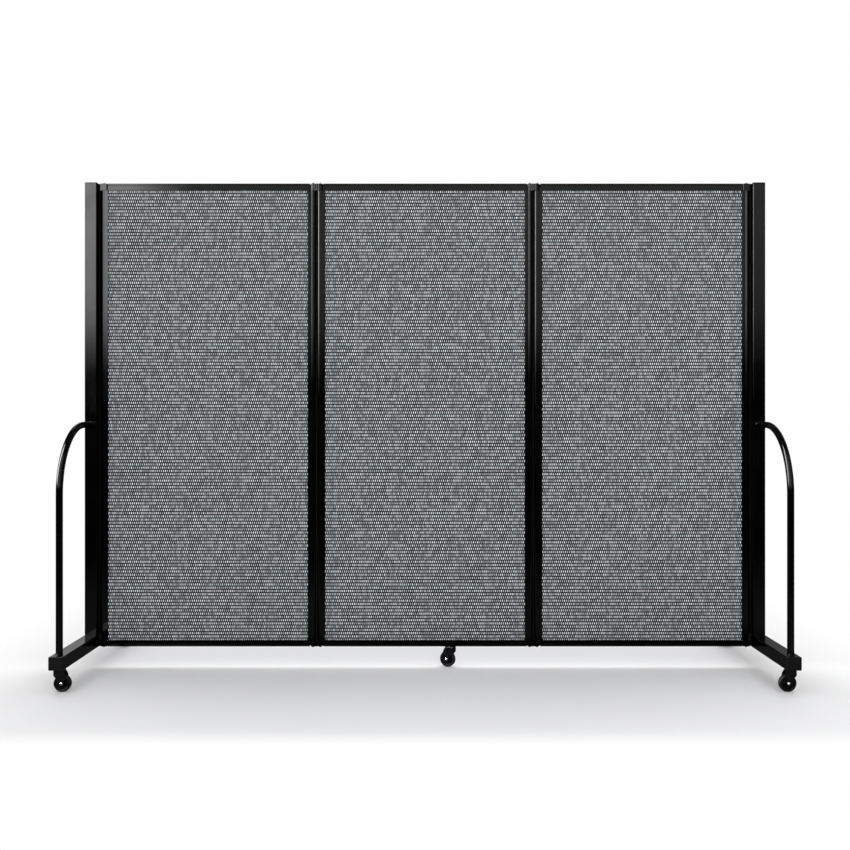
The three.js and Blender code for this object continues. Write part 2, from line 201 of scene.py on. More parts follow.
def rounded_rectangle(width, depth, radius, steps=8):
    """A rectangle about the origin with round corners."""
    x, y = width / 2, depth / 2
    return rounded([(x, y), (-x, y), (-x, -y), (x, -y)], radius, steps)


def both_sides(side):
    """The points, then the same ones mirrored in the X axis, which closes the outline."""
    return [*side, *[(x, -y) for x, y in reversed(side)]]


# Mesh building


def prism(outline, holes, depth, edge=0.0):
    """A closed solid: the outline raised along +Z, its end edges rounded by edge."""
    shape = bmesh.new()
    edges = []
    for loop in [outline, *holes]:
        verts = [shape.verts.new((x, y, 0.0)) for x, y in loop]
        edges += [shape.edges.new(pair) for pair in zip(verts, verts[1:] + verts[:1])]
    if holes:
        bmesh.ops.triangle_fill(shape, use_beauty=True, edges=edges)
    else:
        shape.faces.new(list(shape.verts))
    ends = bmesh.ops.extrude_face_region(shape, geom=list(shape.faces))
    raised = [v for v in ends["geom"] if isinstance(v, bmesh.types.BMVert)]
    bmesh.ops.translate(shape, verts=raised, vec=(0.0, 0.0, depth))
    bmesh.ops.recalc_face_normals(shape, faces=shape.faces)
    if edge:
        rims = [
            e
            for e in shape.edges
            if len(e.link_faces) == 2
            and abs(e.verts[0].co.z - e.verts[1].co.z) < 1e-6
            and e.calc_face_angle(0.0) > math.radians(60)
        ]
        bevel(shape, rims, edge, 2)
    return shape


def bevel(shape, edges, offset, segments):
    """Rounds these edges of the shape."""
    bmesh.ops.bevel(
        shape, geom=edges, offset=offset, segments=segments, profile=0.5, affect="EDGES", clamp_overlap=True
    )


def turned(profile, sides=48, closed=False):
    """A closed solid of [radius, height] points turned about the Z axis."""
    shape = bmesh.new()
    rings = []
    for radius, height in profile:
        loop = circle(0, 0, radius, sides) if radius > 1e-6 else [(0.0, 0.0)]
        rings.append([shape.verts.new((x, y, height)) for x, y in loop])
    pairs = list(zip(rings, rings[1:]))
    if closed:
        pairs.append((rings[-1], rings[0]))
    for low, high in pairs:
        for i in range(sides):
            j = (i + 1) % sides
            corners = [low[i % len(low)], low[j % len(low)], high[j % len(high)], high[i % len(high)]]
            corners = list(dict.fromkeys(corners))
            if len(corners) > 2:
                shape.faces.new(corners)
    bmesh.ops.recalc_face_normals(shape, faces=shape.faces)
    return shape


def moved(shape, matrix, scale=MM):
    """The shape in metres, at its place; its faces are turned back if the place mirrors it."""
    shape.transform(matrix @ Matrix.Scale(scale, 4))
    if matrix.determinant() < 0:
        bmesh.ops.reverse_faces(shape, faces=shape.faces)
    return shape


def mesh_of(shape, name):
    """The shape as a mesh; the shape is used up."""
    mesh = bpy.data.meshes.new(name)
    shape.to_mesh(mesh)
    shape.free()
    return mesh


def placed(name, data):
    """A new object in the scene with this mesh, lamp or camera."""
    thing = bpy.data.objects.new(name, data)
    bpy.context.scene.collection.objects.link(thing)
    return thing


def carved(shape, *steps):
    """The shape after each ("UNION", "DIFFERENCE" or "INTERSECT", other shape) in turn."""
    base = placed("carved_base", mesh_of(shape, "carved_base"))
    tools = [placed("carving_tool", mesh_of(other, "carving_tool")) for _, other in steps]
    for (operation, _), tool in zip(steps, tools):
        modifier = base.modifiers.new("carve", "BOOLEAN")
        modifier.operation, modifier.object, modifier.solver = operation, tool, "EXACT"
    result = bmesh.new()
    graph = bpy.context.evaluated_depsgraph_get()
    result.from_mesh(bpy.data.meshes.new_from_object(base.evaluated_get(graph)))
    for scratch in [base, *tools]:
        mesh = scratch.data
        bpy.data.objects.remove(scratch)
        bpy.data.meshes.remove(mesh)
    bmesh.ops.remove_doubles(result, verts=result.verts, dist=1e-7)
    return result


def basis(x, y, z, origin=(0, 0, 0)):
    """A matrix whose columns are the three axes and the origin, in metres."""
    return Matrix.Translation(Vector(origin)) @ Matrix((x, y, z)).transposed().to_4x4()


def finished(name, shape, material, node, angle=38.0, weigh=True):
    """The shape, in metres and in place, as a piece that rides with and stands for its CAD node."""
    mesh = mesh_of(shape, name) if isinstance(shape, bmesh.types.BMesh) else shape
    mesh.name = name
    mesh.shade_smooth()
    mesh.set_sharp_from_angle(angle=math.radians(angle))
    if not mesh.materials:
        for label in material.split():
            mesh.materials.append(MATERIALS[label])
    piece = placed(name, mesh)
    if weigh:
        weights = piece.modifiers.new("Face weighted normals", "WEIGHTED_NORMAL")
        weights.keep_sharp = True
    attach(piece, BODY[node])
    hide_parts(node)
    return piece


def extent(node):
    """Lowest corner, highest corner and centre of a CAD node, and its sizes in millimetres."""
    low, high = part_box(node)
    return low, high, (low + high) / 2, [(b - a) / MM for a, b in zip(low, high)]


# Node trees


class Value:
    """A socket of a node tree, whose arithmetic adds math nodes."""

    def __init__(self, tree, socket):
        self.tree, self.socket = tree, socket

    def __add__(self, other):
        return self.tree.math("ADD", self, other)

    def __sub__(self, other):
        return self.tree.math("SUBTRACT", self, other)

    def __mul__(self, other):
        return self.tree.math("MULTIPLY", self, other)

    def __truediv__(self, other):
        return self.tree.math("DIVIDE", self, other)

    def __pow__(self, other):
        return self.tree.math("POWER", self, other)

    def __abs__(self):
        return self.tree.math("ABSOLUTE", self)


class Tree:
    """Adds nodes to one node tree and links them."""

    def __init__(self, tree):
        self.tree = tree

    def link(self, source, target):
        self.tree.links.new(getattr(source, "socket", source), target)

    def fill(self, node, inputs):
        """Links or sets each of these inputs of a node."""
        for key, value in inputs.items():
            if isinstance(value, (Value, bpy.types.NodeSocket)):
                self.link(value, node.inputs[key])
            else:
                node.inputs[key].default_value = value
        return node

    def add(self, kind, inputs=None, **settings):
        """A new node."""
        node = self.tree.nodes.new(kind)
        for key, value in settings.items():
            setattr(node, key, value)
        return self.fill(node, inputs or {})

    def get(self, kind, inputs=None, output=0, **settings):
        """One output of a new node."""
        return Value(self, self.add(kind, inputs, **settings).outputs[output])

    def math(self, operation, *values, clamp=False):
        inputs = dict(enumerate(values))
        return self.get("ShaderNodeMath", inputs, operation=operation, use_clamp=clamp)

    def split(self, vector):
        """The three coordinates of a vector."""
        return [Value(self, part) for part in self.add("ShaderNodeSeparateXYZ", {0: vector}).outputs]

    def smooth(self, value, start, end, low=0.0, high=1.0):
        """low before start, high after end, and a smooth step between."""
        inputs = {"Value": value, "From Min": start, "From Max": end, "To Min": low, "To Max": high}
        return self.get("ShaderNodeMapRange", inputs, interpolation_type="SMOOTHSTEP")

    def profile(self, value, stops):
        """A level that eases from each stop to the next."""
        level = stops[0][1]
        for (start, before), (end, after) in zip(stops, stops[1:]):
            level = self.math("ADD", level, self.smooth(value, start, end, 0.0, after - before))
        return level

    def mix(self, factor, first, second, blend="MIX"):
        """Two colours mixed."""
        inputs = {"Factor": factor, 6: first, 7: second}
        return self.get("ShaderNodeMix", inputs, 2, data_type="RGBA", blend_type=blend)

    def noise(self, vector, scale, detail=3.0, roughness=0.5):
        inputs = {"Vector": vector, "Scale": scale, "Detail": detail, "Roughness": roughness}
        return self.get("ShaderNodeTexNoise", inputs, "Fac")

    def bump(self, height, distance, strength):
        """A normal from a height."""
        inputs = {"Height": height, "Distance": distance, "Strength": strength}
        return self.get("ShaderNodeBump", inputs)


def new_group(name, kind, inputs, outputs):
    """An empty node group, with its Tree, its inputs as values and its output sockets.

    Each socket is given by its default, where that is a number, or else by its type.
    """
    group = bpy.data.node_groups.new(name, kind)
    for direction, sockets in (("INPUT", inputs), ("OUTPUT", outputs)):
        for label, given in sockets.items():
            number = isinstance(given, (int, float))
            socket_type = "NodeSocket" + (type(given).__name__.title() if number else given)
            socket = group.interface.new_socket(label, in_out=direction, socket_type=socket_type)
            if number:
                socket.default_value = given
    tree = Tree(group)
    given = {s.name: Value(tree, s) for s in group.nodes.new("NodeGroupInput").outputs}
    return group, tree, given, group.nodes.new("NodeGroupOutput").inputs


def link_all(tree, out, values):
    """Links each value to the output socket of the same name."""
    for label, value in values.items():
        tree.link(value, out[label])


# Shared shader groups


def woven_rows_group():
    """Rows of upright floats over a dark ground: mask, height and a value for each float."""
    inputs = {
        "Vector": "Vector",
        "Float Pitch": 0.0079,
        "Row Pitch": 0.0124,
        "Float Width Share": 0.45,
        "Float Height Share": 0.66,
        "Wander": 0.0045,
    }
    outputs = {"Float Mask": "Float", "Height": "Float", "Float Value": "Float"}
    group, tree, given, out = new_group("Woven rows", "ShaderNodeTree", inputs, outputs)

    # The floats drift sideways, each row a little differently, and the rows stay straight
    squeezed = tree.get(
        "ShaderNodeVectorMath", {0: given["Vector"], 1: (1.0, 1.0, 2.4)}, operation="MULTIPLY"
    )
    slow = tree.get("ShaderNodeTexNoise", {"Vector": squeezed, "Scale": 20.0, "Detail": 2.0}, "Color")
    drift = tree.get("ShaderNodeVectorMath", {0: slow, 1: (0.5, 0.5, 0.5)}, operation="SUBTRACT")
    scaled = tree.get("ShaderNodeVectorMath", {0: drift, "Scale": given["Wander"]}, operation="SCALE")
    wandered = tree.get("ShaderNodeVectorMath", {0: given["Vector"], 1: scaled})
    across = tree.split(wandered)[0]
    _, depth, upright = tree.split(given["Vector"])

    rows = upright / given["Row Pitch"]
    row = tree.math("FLOOR", rows)
    up = tree.math("FRACT", rows)
    columns = across / given["Float Pitch"] + tree.math("FLOORED_MODULO", row, 2.0) * 0.5
    column = tree.math("FLOOR", columns)
    over = tree.math("FRACT", columns)
    cell = tree.get("ShaderNodeCombineXYZ", {0: column, 1: row, 2: tree.math("FLOOR", depth)})
    random = tree.add("ShaderNodeTexWhiteNoise", {"Vector": cell}).outputs
    spread = tree.add("ShaderNodeSeparateColor", {0: random["Color"]}).outputs

    def share(offset, half, amount, seed):
        """1 in the middle of the float and 0 beyond its edge, each edge a little different."""
        away = abs(offset - 0.5) * 2.0
        edge = (Value(tree, seed) - 0.5) * amount + half
        return tree.smooth(away - edge, -0.1, 0.1, 1.0, 0.0), away

    side, away_x = share(over, given["Float Width Share"], 0.1, spread[0])
    end, away_y = share(up, given["Float Height Share"], 0.08, spread[1])
    mask = side * end

    round_x, round_y = [
        tree.math("SQRT", tree.math("SUBTRACT", 1.0, away**power, clamp=True))
        for away, power in ((away_x, 2.0), (away_y, 4.0))
    ]
    strands = tree.math("SINE", over * (2 * math.pi * 7))
    ground = tree.math("SINE", up * (2 * math.pi * 5))
    height = round_x * round_y * mask + (strands * mask + ground * 0.5) * 0.07
    link_all(tree, out, {"Float Mask": mask, "Height": height, "Float Value": random["Value"]})
    return group


def coat_texture_group():
    """Uneven gloss of a sprayed coat: a roughness, a fine height and a cloudy mask."""
    inputs = {
        "Vector": "Vector",
        "Smooth Roughness": 0.06,
        "Rough Roughness": 0.14,
        "Ripple Scale": 260.0,
        "Cloud Scale": 9.0,
    }
    outputs = {"Roughness": "Float", "Height": "Float", "Cloud": "Float"}
    group, tree, given, out = new_group("Coat texture", "ShaderNodeTree", inputs, outputs)
    patch = tree.smooth(tree.noise(given["Vector"], given["Cloud Scale"], 4.0, 0.6), 0.35, 0.7)
    speck = tree.smooth(tree.noise(given["Vector"], 1400.0, 1.0), 0.62, 0.74)
    ends = {"To Min": given["Smooth Roughness"], "To Max": given["Rough Roughness"]}
    rough = tree.get("ShaderNodeMapRange", {"Value": patch, **ends}) + speck * 0.05
    height = tree.noise(given["Vector"], given["Ripple Scale"], 2.0, 0.4) + speck * 0.1
    link_all(tree, out, {"Roughness": rough, "Height": height, "Cloud": patch})
    return group


def moulded_grain_group():
    """Fine pebbled grain of a moulding, with scuffs: a height and a scuff mask."""
    inputs = {"Vector": "Vector", "Grain Scale": 900.0}
    outputs = {"Height": "Float", "Scuff": "Float"}
    group, tree, given, out = new_group("Moulded grain", "ShaderNodeTree", inputs, outputs)
    place = {"Vector": given["Vector"], "Scale": given["Grain Scale"]}
    pebble = tree.smooth(tree.get("ShaderNodeTexVoronoi", place, "Distance"), 0.0, 0.6, 1.0, 0.0)
    scuff = tree.smooth(tree.noise(given["Vector"], 70.0, 6.0, 0.7), 0.52, 0.75)
    link_all(tree, out, {"Height": pebble, "Scuff": scuff})
    return group


# Materials

MATERIALS = {}


def new_material(name):
    """A material with its Tree, its shader and the piece's own coordinates."""
    material = bpy.data.materials.new(name)
    material.use_nodes = True
    tree = Tree(material.node_tree)
    shader = material.node_tree.nodes["Principled BSDF"]
    return material, tree, shader, tree.get("ShaderNodeTexCoord", output="Object")


def coat_material(name, groups, colour, dusty, smooth, rough, ripple):
    """Gloss black coat on metal."""
    material, tree, shader, place = new_material(name)
    given = {
        "Vector": place,
        "Smooth Roughness": smooth,
        "Rough Roughness": rough,
        "Ripple Scale": ripple,
    }
    texture = tree.add("ShaderNodeGroup", given, node_tree=groups["coat"]).outputs
    look = {
        "Base Color": tree.mix(texture["Cloud"], colour, dusty),
        "Roughness": texture["Roughness"],
        "Specular IOR Level": 0.07,
        "Normal": tree.bump(texture["Height"], 0.00006, 0.35),
    }
    tree.fill(shader, look)
    return material


def moulding_material(name, groups, colour, scuffed, roughness, grain, specular=0.1):
    """Satin black moulding."""
    material, tree, shader, place = new_material(name)
    given = {"Vector": place, "Grain Scale": grain}
    texture = tree.add("ShaderNodeGroup", given, node_tree=groups["grain"]).outputs
    scuff = Value(tree, texture["Scuff"])
    look = {
        "Base Color": tree.mix(scuff, colour, scuffed),
        "Roughness": scuff * 0.15 + roughness,
        "Specular IOR Level": specular,
        "Normal": tree.bump(texture["Height"], 0.00008, 0.3),
    }
    tree.fill(shader, look)
    return material


def metal_material(name, colour, worn, roughness, stretch):
    """Turned metal with fine lines round it, from noise stretched along one axis."""
    material, tree, shader, place = new_material(name)
    streak = tree.noise(tree.get("ShaderNodeMapping", {"Vector": place, "Scale": stretch}), 1.0, 5.0, 0.6)
    look = {
        "Base Color": tree.mix(tree.smooth(streak, 0.3, 0.7), colour, worn),
        "Roughness": streak * 0.16 + (roughness - 0.06),
        "Metallic": 1.0,
        "Normal": tree.bump(streak, 0.00003, 0.4),
    }
    tree.fill(shader, look)
    return material


def cloth_material(groups, light, shade, ground):
    """Woven cloth: light upright floats in rows over a dark ground."""
    material, tree, shader, place = new_material("Grey woven cloth")
    weave = tree.add("ShaderNodeGroup", {"Vector": place}, node_tree=groups["weave"]).outputs
    mask, rise = Value(tree, weave["Float Mask"]), Value(tree, weave["Height"])
    strand = tree.mix(tree.smooth(weave["Float Value"], 0.0, 1.0), shade, light)
    fuzz = tree.noise(place, 2600.0, 2.0, 0.7)
    fibre = tree.mix(tree.smooth(fuzz, 0.3, 0.75), (0.72, 0.72, 0.72, 1), (1.18, 1.18, 1.18, 1))
    look = {
        "Base Color": tree.mix(1.0, tree.mix(mask, ground, strand), fibre, "MULTIPLY"),
        "Roughness": mask * -0.12 + 0.95,
        "Specular IOR Level": 0.06,
        "Sheen Weight": 0.03,
        "Sheen Roughness": 0.5,
        "Normal": tree.bump(rise + fuzz * 0.12, 0.0011, 0.8),
    }
    tree.fill(shader, look)
    return material


def core_material():
    """Pressed fibre of the board under the cloth."""
    material, tree, shader, place = new_material("Pressed fibre")
    fibre = tree.noise(place, 420.0, 6.0, 0.75)
    colour = tree.mix(tree.smooth(fibre, 0.3, 0.7), (0.09, 0.085, 0.075, 1), (0.17, 0.16, 0.145, 1))
    look = {"Base Color": colour, "Roughness": 0.95, "Normal": tree.bump(fibre, 0.0006, 0.5)}
    tree.fill(shader, look)
    return material


def paler(colour, times):
    """A colour made lighter."""
    return tuple(min(1.0, part * times) for part in colour[:3]) + (1.0,)


def make_materials(colours):
    """Builds every material once."""
    groups = {"weave": woven_rows_group(), "coat": coat_texture_group(), "grain": moulded_grain_group()}
    coat, moulding = tuple(colours.coat), tuple(colours.moulding)
    coats = {
        "extrusion": ("Gloss black extrusion", 0.05, 0.12, 300.0),
        "tube": ("Gloss black tube", 0.06, 0.14, 220.0),
    }
    for key, (name, *levels) in coats.items():
        MATERIALS[key] = coat_material(name, groups, coat, paler(coat, 1.9), *levels)
    mouldings = {
        "moulding": ("Satin black moulding", 0.3, 1100.0),
        "yoke": ("Black fork moulding", 0.26, 1500.0),
        "tread": ("Black tread", 0.42, 700.0, 0.12),
    }
    for key, (name, *levels) in mouldings.items():
        MATERIALS[key] = moulding_material(name, groups, moulding, paler(moulding, 1.7), *levels)
    seal = ((0.001, 0.001, 0.0011, 1), (0.002, 0.002, 0.0021, 1), 0.75, 500.0, 0.03)
    steel = ((0.02, 0.02, 0.021, 1), (0.05, 0.05, 0.052, 1), 0.28, (40, 40, 1500))
    plating = ((0.8, 0.8, 0.82, 1), (0.62, 0.62, 0.65, 1), 0.14, (900, 900, 900))
    cloth = [tuple(colour) for colour in (colours.float_light, colours.float_shade, colours.ground)]
    MATERIALS.update(
        seal=moulding_material("Matt black strip", groups, *seal),
        pin=metal_material("Blackened steel", *steel),
        bright=metal_material("Bright plating", *plating),
        cloth=cloth_material(groups, *cloth),
        core=core_material(),
    )


# Sizes, as label, description, default, least and most in millimetres, and colours

SIZES = {
    "corner": ("Profile corner", "Rounding of the extrusions' corners", 0.5, 0.0, 1.2),
    "cut_edge": ("Cut edge", "Rounding of the sawn ends of tubes and extrusions", 0.3, 0.0, 1.0),
    "cloth_face": ("Cloth face", "Distance of the cloth's face from the panel's middle", 7.7, 6.8, 8.0),
    "rib": ("Rib height", "Rise of each woven row over the gap between rows", 0.5, 0.0, 1.0),
    "row_pitch": ("Row pitch", "Distance between two woven rows", 12.4, 4.0, 30.0),
    "core_thickness": ("Core thickness", "Thickness of the board under the cloth", 13.0, 8.0, 13.4),
    "bead": ("Weld bead", "Width of the weld round each end of a brace", 2.6, 1.0, 5.0),
}
COLOURS = {
    "coat": ("Coat", "Gloss coat of the metal", (0.0007, 0.0007, 0.0008, 1)),
    "moulding": ("Mouldings", "Caps, forks and wheels", (0.0018, 0.0018, 0.002, 1)),
    "float_light": ("Light float", "Lightest upright floats of the cloth", (0.9, 0.947, 0.988, 1)),
    "float_shade": ("Shaded float", "Darkest upright floats of the cloth", (0.52, 0.553, 0.586, 1)),
    "ground": ("Ground", "Dark ground between the floats", (0.006, 0.0065, 0.007, 1)),
}


class ScreenSizes(bpy.types.PropertyGroup):
    """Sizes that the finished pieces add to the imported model."""

    __annotations__ = {
        key: bpy.props.FloatProperty(
            name=label, description=about, default=size * MM, min=least * MM, max=most * MM,
            unit="LENGTH", precision=5,
        )
        for key, (label, about, size, least, most) in SIZES.items()
    }


class ScreenColours(bpy.types.PropertyGroup):
    """Colours of the finishes."""

    __annotations__ = {
        key: bpy.props.FloatVectorProperty(
            name=label, description=about, default=colour, size=4, subtype="COLOR", min=0, max=1
        )
        for key, (label, about, colour) in COLOURS.items()
    }


# Panel frames


def stile_section(corner):
    """Plan of a stile, its panel's edge at x = 0: nose, hinge face, frame face and channel."""
    side = [
        (HINGE_FACE_WIDTH - FACE_SLOPE, -NOSE_RADIUS),
        (HINGE_FACE_WIDTH + FACE_SLOPE, -FACE_HALF),
        (STILE_WIDTH, -FACE_HALF),
        (STILE_WIDTH, -CHANNEL_HALF),
        (STILE_WIDTH - CHANNEL_DEPTH, -CHANNEL_HALF),
    ]
    nose = arc(NOSE_RADIUS, 0, NOSE_RADIUS, 90, 270, 40)
    return rounded([*nose, *both_sides(side)], corner / MM, 3, sharpest=150.0)


def rail_section(height, corner):
    """Section of a rail, outer edge at y = 0: box with a line along each face and the channel."""
    line = FACE_HALF - LINE_DEPTH
    line_top = LINE_INSET + LINE_WIDTH
    side = [
        (FACE_HALF, 0),
        (FACE_HALF, LINE_INSET),
        (line, LINE_INSET),
        (line, line_top),
        (FACE_HALF, line_top),
        (FACE_HALF, height),
        (CHANNEL_HALF, height),
        (CHANNEL_HALF, height - CHANNEL_DEPTH),
    ]
    mirrored = [(-x, y) for x, y in reversed(side)]
    wall = FACE_HALF - RAIL_WALL
    ceiling = height - CHANNEL_DEPTH - RAIL_WALL
    chamber = [(-wall, RAIL_WALL), (-wall, ceiling), (wall, ceiling), (wall, RAIL_WALL)]
    return rounded([*side, *mirrored], corner / MM, 3), [rounded(chamber, 0.8, 3)]


def stile(node, facing, sizes):
    """One stile; facing is 1 where the panel lies towards +X of it."""
    low, high, _, (_, _, length) = extent(node)
    bore = circle(NOSE_RADIUS, 0, PIN_BORE, 24)
    shape = prism(stile_section(sizes.corner), [bore], length, sizes.cut_edge / MM)
    edge = low.x if facing > 0 else high.x
    place = basis((facing, 0, 0), (0, 1, 0), (0, 0, 1), (edge, 0, low.z))
    finished(f"{node}_extrusion", moved(shape, place), "extrusion", node)


def nicked(shape, left, right, z, upward, size):
    """The shape with a wedge cut off each end, at left and right, of its edge at z."""
    spare = 1.0
    reach = size + 2 * spare
    cuts = []
    for x, way in ((left, -1), (right, 1)):
        wedge = prism([(0, 0), (-reach, 0), (0, -reach)], [], WEDGE_DEPTH)
        corner = (x + way * spare * MM, -WEDGE_DEPTH / 2 * MM, z + upward * spare * MM)
        turn = basis((way, 0, 0), (0, 0, upward), (0, 1, 0))
        cuts.append(("DIFFERENCE", moved(wedge, Matrix.Translation(corner) @ turn)))
    return carved(shape, *cuts)


def socketed(shape, stems, floor, lengths):
    """The shape with a socket up from its floor for each stem, every wall before every bore."""
    steps = []
    for operation, radius, (start, length) in zip(
        ("UNION", "DIFFERENCE"), (SOCKET_RADIUS, STEM_BORE), lengths
    ):
        for x, y, _ in stems:
            rod = prism(circle(0, 0, radius), [], length)
            steps.append((operation, moved(rod, Matrix.Translation((x, y, floor + start * MM)))))
    return carved(shape, *steps)


def rail(node, upward, sizes, shorter, stems=()):
    """One rail; upward is 1 for the bottom rail, whose outer edge is its lower one."""
    low, high, _, (_, _, height) = extent(node)
    outer = low.z if upward > 0 else high.z
    left, right = low.x + shorter[0] * MM, high.x - shorter[1] * MM
    section, holes = rail_section(height, sizes.corner)
    shape = prism(section, holes, (right - left) / MM, sizes.cut_edge / MM)
    shape = moved(shape, basis((0, 1, 0), (0, 0, upward), (1, 0, 0), (left, 0, outer)))
    shape = nicked(shape, left, right, outer, -upward, RAIL_NICK)
    if stems:
        shape = socketed(shape, stems, low.z, RAIL_SOCKET)
    finished(f"{node}_extrusion", shape, "extrusion", node)


class PRIVACY_SCREEN_OT_panel_frames(bpy.types.Operator):
    """Builds the stiles and rails round each panel"""

    bl_idname = "privacy_screen.panel_frames"
    bl_label = "Panel frames"

    def execute(self, context):
        sizes = context.scene.screen_sizes
        for side in PANELS:
            stile(f"panel_{side}_stile_left", 1, sizes)
            stile(f"panel_{side}_stile_right", -1, sizes)
            stems = [JOINTS["swivel_middle"]["pos_m"]] if side == "middle" else []
            shorter = (END_RAIL_SETBACK * (side == "left"), END_RAIL_SETBACK * (side == "right"))
            rail(f"panel_{side}_rail_top", -1, sizes, shorter)
            rail(f"panel_{side}_rail_bottom", 1, sizes, shorter, stems)
        return {"FINISHED"}


# Cloth and core


def woven_sheet_tree():
    """Geometry nodes: a flat sheet whose rows stand up as ribs and fade out at its edges."""
    inputs = {
        "Width": 0.78,
        "Height": 1.73,
        "Row Pitch": 0.0124,
        "Rib Height": 0.0005,
        "Lift": 0.001,
        "Columns": 24,
        "Steps per Row": 6,
        "Seed": 7,
        "Material": "Material",
    }
    group, tree, given, out = new_group("Woven sheet", "GeometryNodeTree", inputs, {"Geometry": "Geometry"})
    rows = tree.math("CEIL", given["Height"] / given["Row Pitch"])
    lattice = {
        "Size X": given["Width"],
        "Size Y": given["Height"],
        "Vertices X": given["Columns"],
        "Vertices Y": rows * given["Steps per Row"] + 1.0,
    }
    grid = tree.add("GeometryNodeMeshGrid", lattice).outputs
    position = tree.get("GeometryNodeInputPosition")
    x, y, _ = tree.split(position)
    rib = abs(tree.math("COSINE", y / given["Row Pitch"] * math.pi)) ** 0.5
    slow = {"Vector": position, "Scale": 3.0, "Detail": 1.0, "W": given["Seed"]}
    wave = tree.get("ShaderNodeTexNoise", slow, noise_dimensions="4D")

    def fade(value, size):
        """0 at both edges of the sheet, where the frame's channel holds it, and 1 inside."""
        held, free = 0.0075, 0.0115
        inputs = {"Value": size / 2.0 - abs(value), "From Min": held, "From Max": free}
        return tree.get("ShaderNodeMapRange", inputs, interpolation_type="SMOOTHSTEP")

    edge = fade(x, given["Width"]) * fade(y, given["Height"])
    rise = (rib * given["Rib Height"] + (wave - 0.5) * given["Lift"]) * edge
    place = tree.get("ShaderNodeCombineXYZ", {0: x, 1: rise * -1.0, 2: y})
    woven = tree.get("GeometryNodeSetPosition", {"Geometry": grid["Mesh"], "Position": place})
    stored = {"Geometry": woven, "Name": "OFBake", "Value": grid["UV Map"]}
    mapped = tree.get("GeometryNodeStoreNamedAttribute", stored, data_type="FLOAT2", domain="CORNER")
    link_all(tree, out, {"Geometry": dressed(tree, mapped, given["Material"])})
    return group


def dressed(tree, geometry, material):
    """The geometry made real and given its material, as the last two nodes of a tree."""
    real = tree.get("GeometryNodeRealizeInstances", {0: geometry})
    return tree.get("GeometryNodeSetMaterial", {"Geometry": real, "Material": material})


def grown(tree, name, values):
    """The mesh that a geometry node tree makes with these inputs."""
    host = placed(name, bpy.data.meshes.new(name))
    modifier = host.modifiers.new(tree.name, "NODES")
    modifier.node_group = tree
    for item in tree.interface.items_tree:
        if item.in_out == "INPUT" and item.name in values:
            modifier[item.identifier] = values[item.name]
    graph = bpy.context.evaluated_depsgraph_get()
    mesh = bpy.data.meshes.new_from_object(host.evaluated_get(graph))
    empty = host.data
    bpy.data.objects.remove(host)
    bpy.data.meshes.remove(empty)
    return mesh


def cloth_sheet(tree, side, face, sizes):
    """One stretched sheet; face is 1 for the front (-Y) and -1 for the back."""
    node = f"panel_{side}_fabric_board"
    low, high, middle, _ = extent(node)
    width, height = high.x - low.x, high.z - low.z
    values = {
        "Width": width,
        "Height": height,
        "Row Pitch": sizes.row_pitch,
        "Rib Height": sizes.rib,
        "Lift": 0.3 * MM,
        "Columns": 24,
        "Steps per Row": 6,
        "Seed": PANELS.index(side) * 2 + (face > 0),
        "Material": MATERIALS["cloth"],
    }
    mesh = grown(tree, f"panel_{side}_cloth", values)
    inset = sizes.cloth_face - sizes.rib
    mesh.transform(basis((face, 0, 0), (0, face, 0), (0, 0, 1), (middle.x, -face * inset, middle.z)))
    name = f"panel_{side}_{'front' if face > 0 else 'back'}_cloth"
    return finished(name, mesh, "cloth", node, angle=180.0, weigh=False), (width, height)


def cloth_core(side, sizes):
    """The board that both sheets are stretched over, a little smaller than the sheets."""
    node = f"panel_{side}_fabric_board"
    _, _, middle, (width, _, height) = extent(node)
    outline = rounded_rectangle(width - 2, height - 2, 3.0, 4)
    shape = prism(outline, [], sizes.core_thickness / MM, 1.0)
    place = basis((1, 0, 0), (0, 0, 1), (0, -1, 0), (middle.x, sizes.core_thickness / 2, middle.z))
    return finished(f"panel_{side}_core", moved(shape, place), "core", node)


class PRIVACY_SCREEN_OT_cloth(bpy.types.Operator):
    """Builds the board in each panel and stretches a woven sheet over each of its faces"""

    bl_idname = "privacy_screen.cloth"
    bl_label = "Cloth and boards"

    def execute(self, context):
        sizes = context.scene.screen_sizes
        tree = woven_sheet_tree()
        for side in PANELS:
            core = cloth_core(side, sizes)
            for face in (1, -1):
                piece, flat = cloth_sheet(tree, side, face, sizes)
        return {"FINISHED"}


# Hinges


def fluted_block(low, high, upward):
    """A hinge link: round ended, bored for two pins and grooved on both long faces."""
    half = (high.x - low.x) / MM / 2 - LINK_RADIUS
    groove = FLUTE_WIDTH / 2
    cut = math.degrees(math.asin((FLUTES[0] + groove - half) / LINK_RADIUS))
    face = []
    for x in FLUTES:
        near = math.sqrt(LINK_RADIUS**2 - max(0.0, abs(x) + groove - half) ** 2)
        lips = (near, LINK_RADIUS) if x > 0 else (LINK_RADIUS, near)
        face += [(x + groove, lips[0]), (x, LINK_RADIUS - FLUTE_DEPTH), (x - groove, lips[1])]
    outline = arc(half, 0, LINK_RADIUS, cut - 90, 90 - cut, 24)[:-1] + face[:-1]
    outline = outline + [(-x, -y) for x, y in outline]
    bores = [circle(x, 0, PIN_BORE, 24) for x in (-half, half)]
    outline = rounded(outline, LIP_ROUND, 2, sharpest=150.0)
    shape = prism(outline, bores, (high.z - low.z) / MM, LINK_EDGE)
    shape = moved(shape, Matrix.Translation(((low.x + high.x) / 2, 0, low.z)))
    return nicked(shape, low.x, high.x, high.z if upward > 0 else low.z, upward, LINK_NICK)


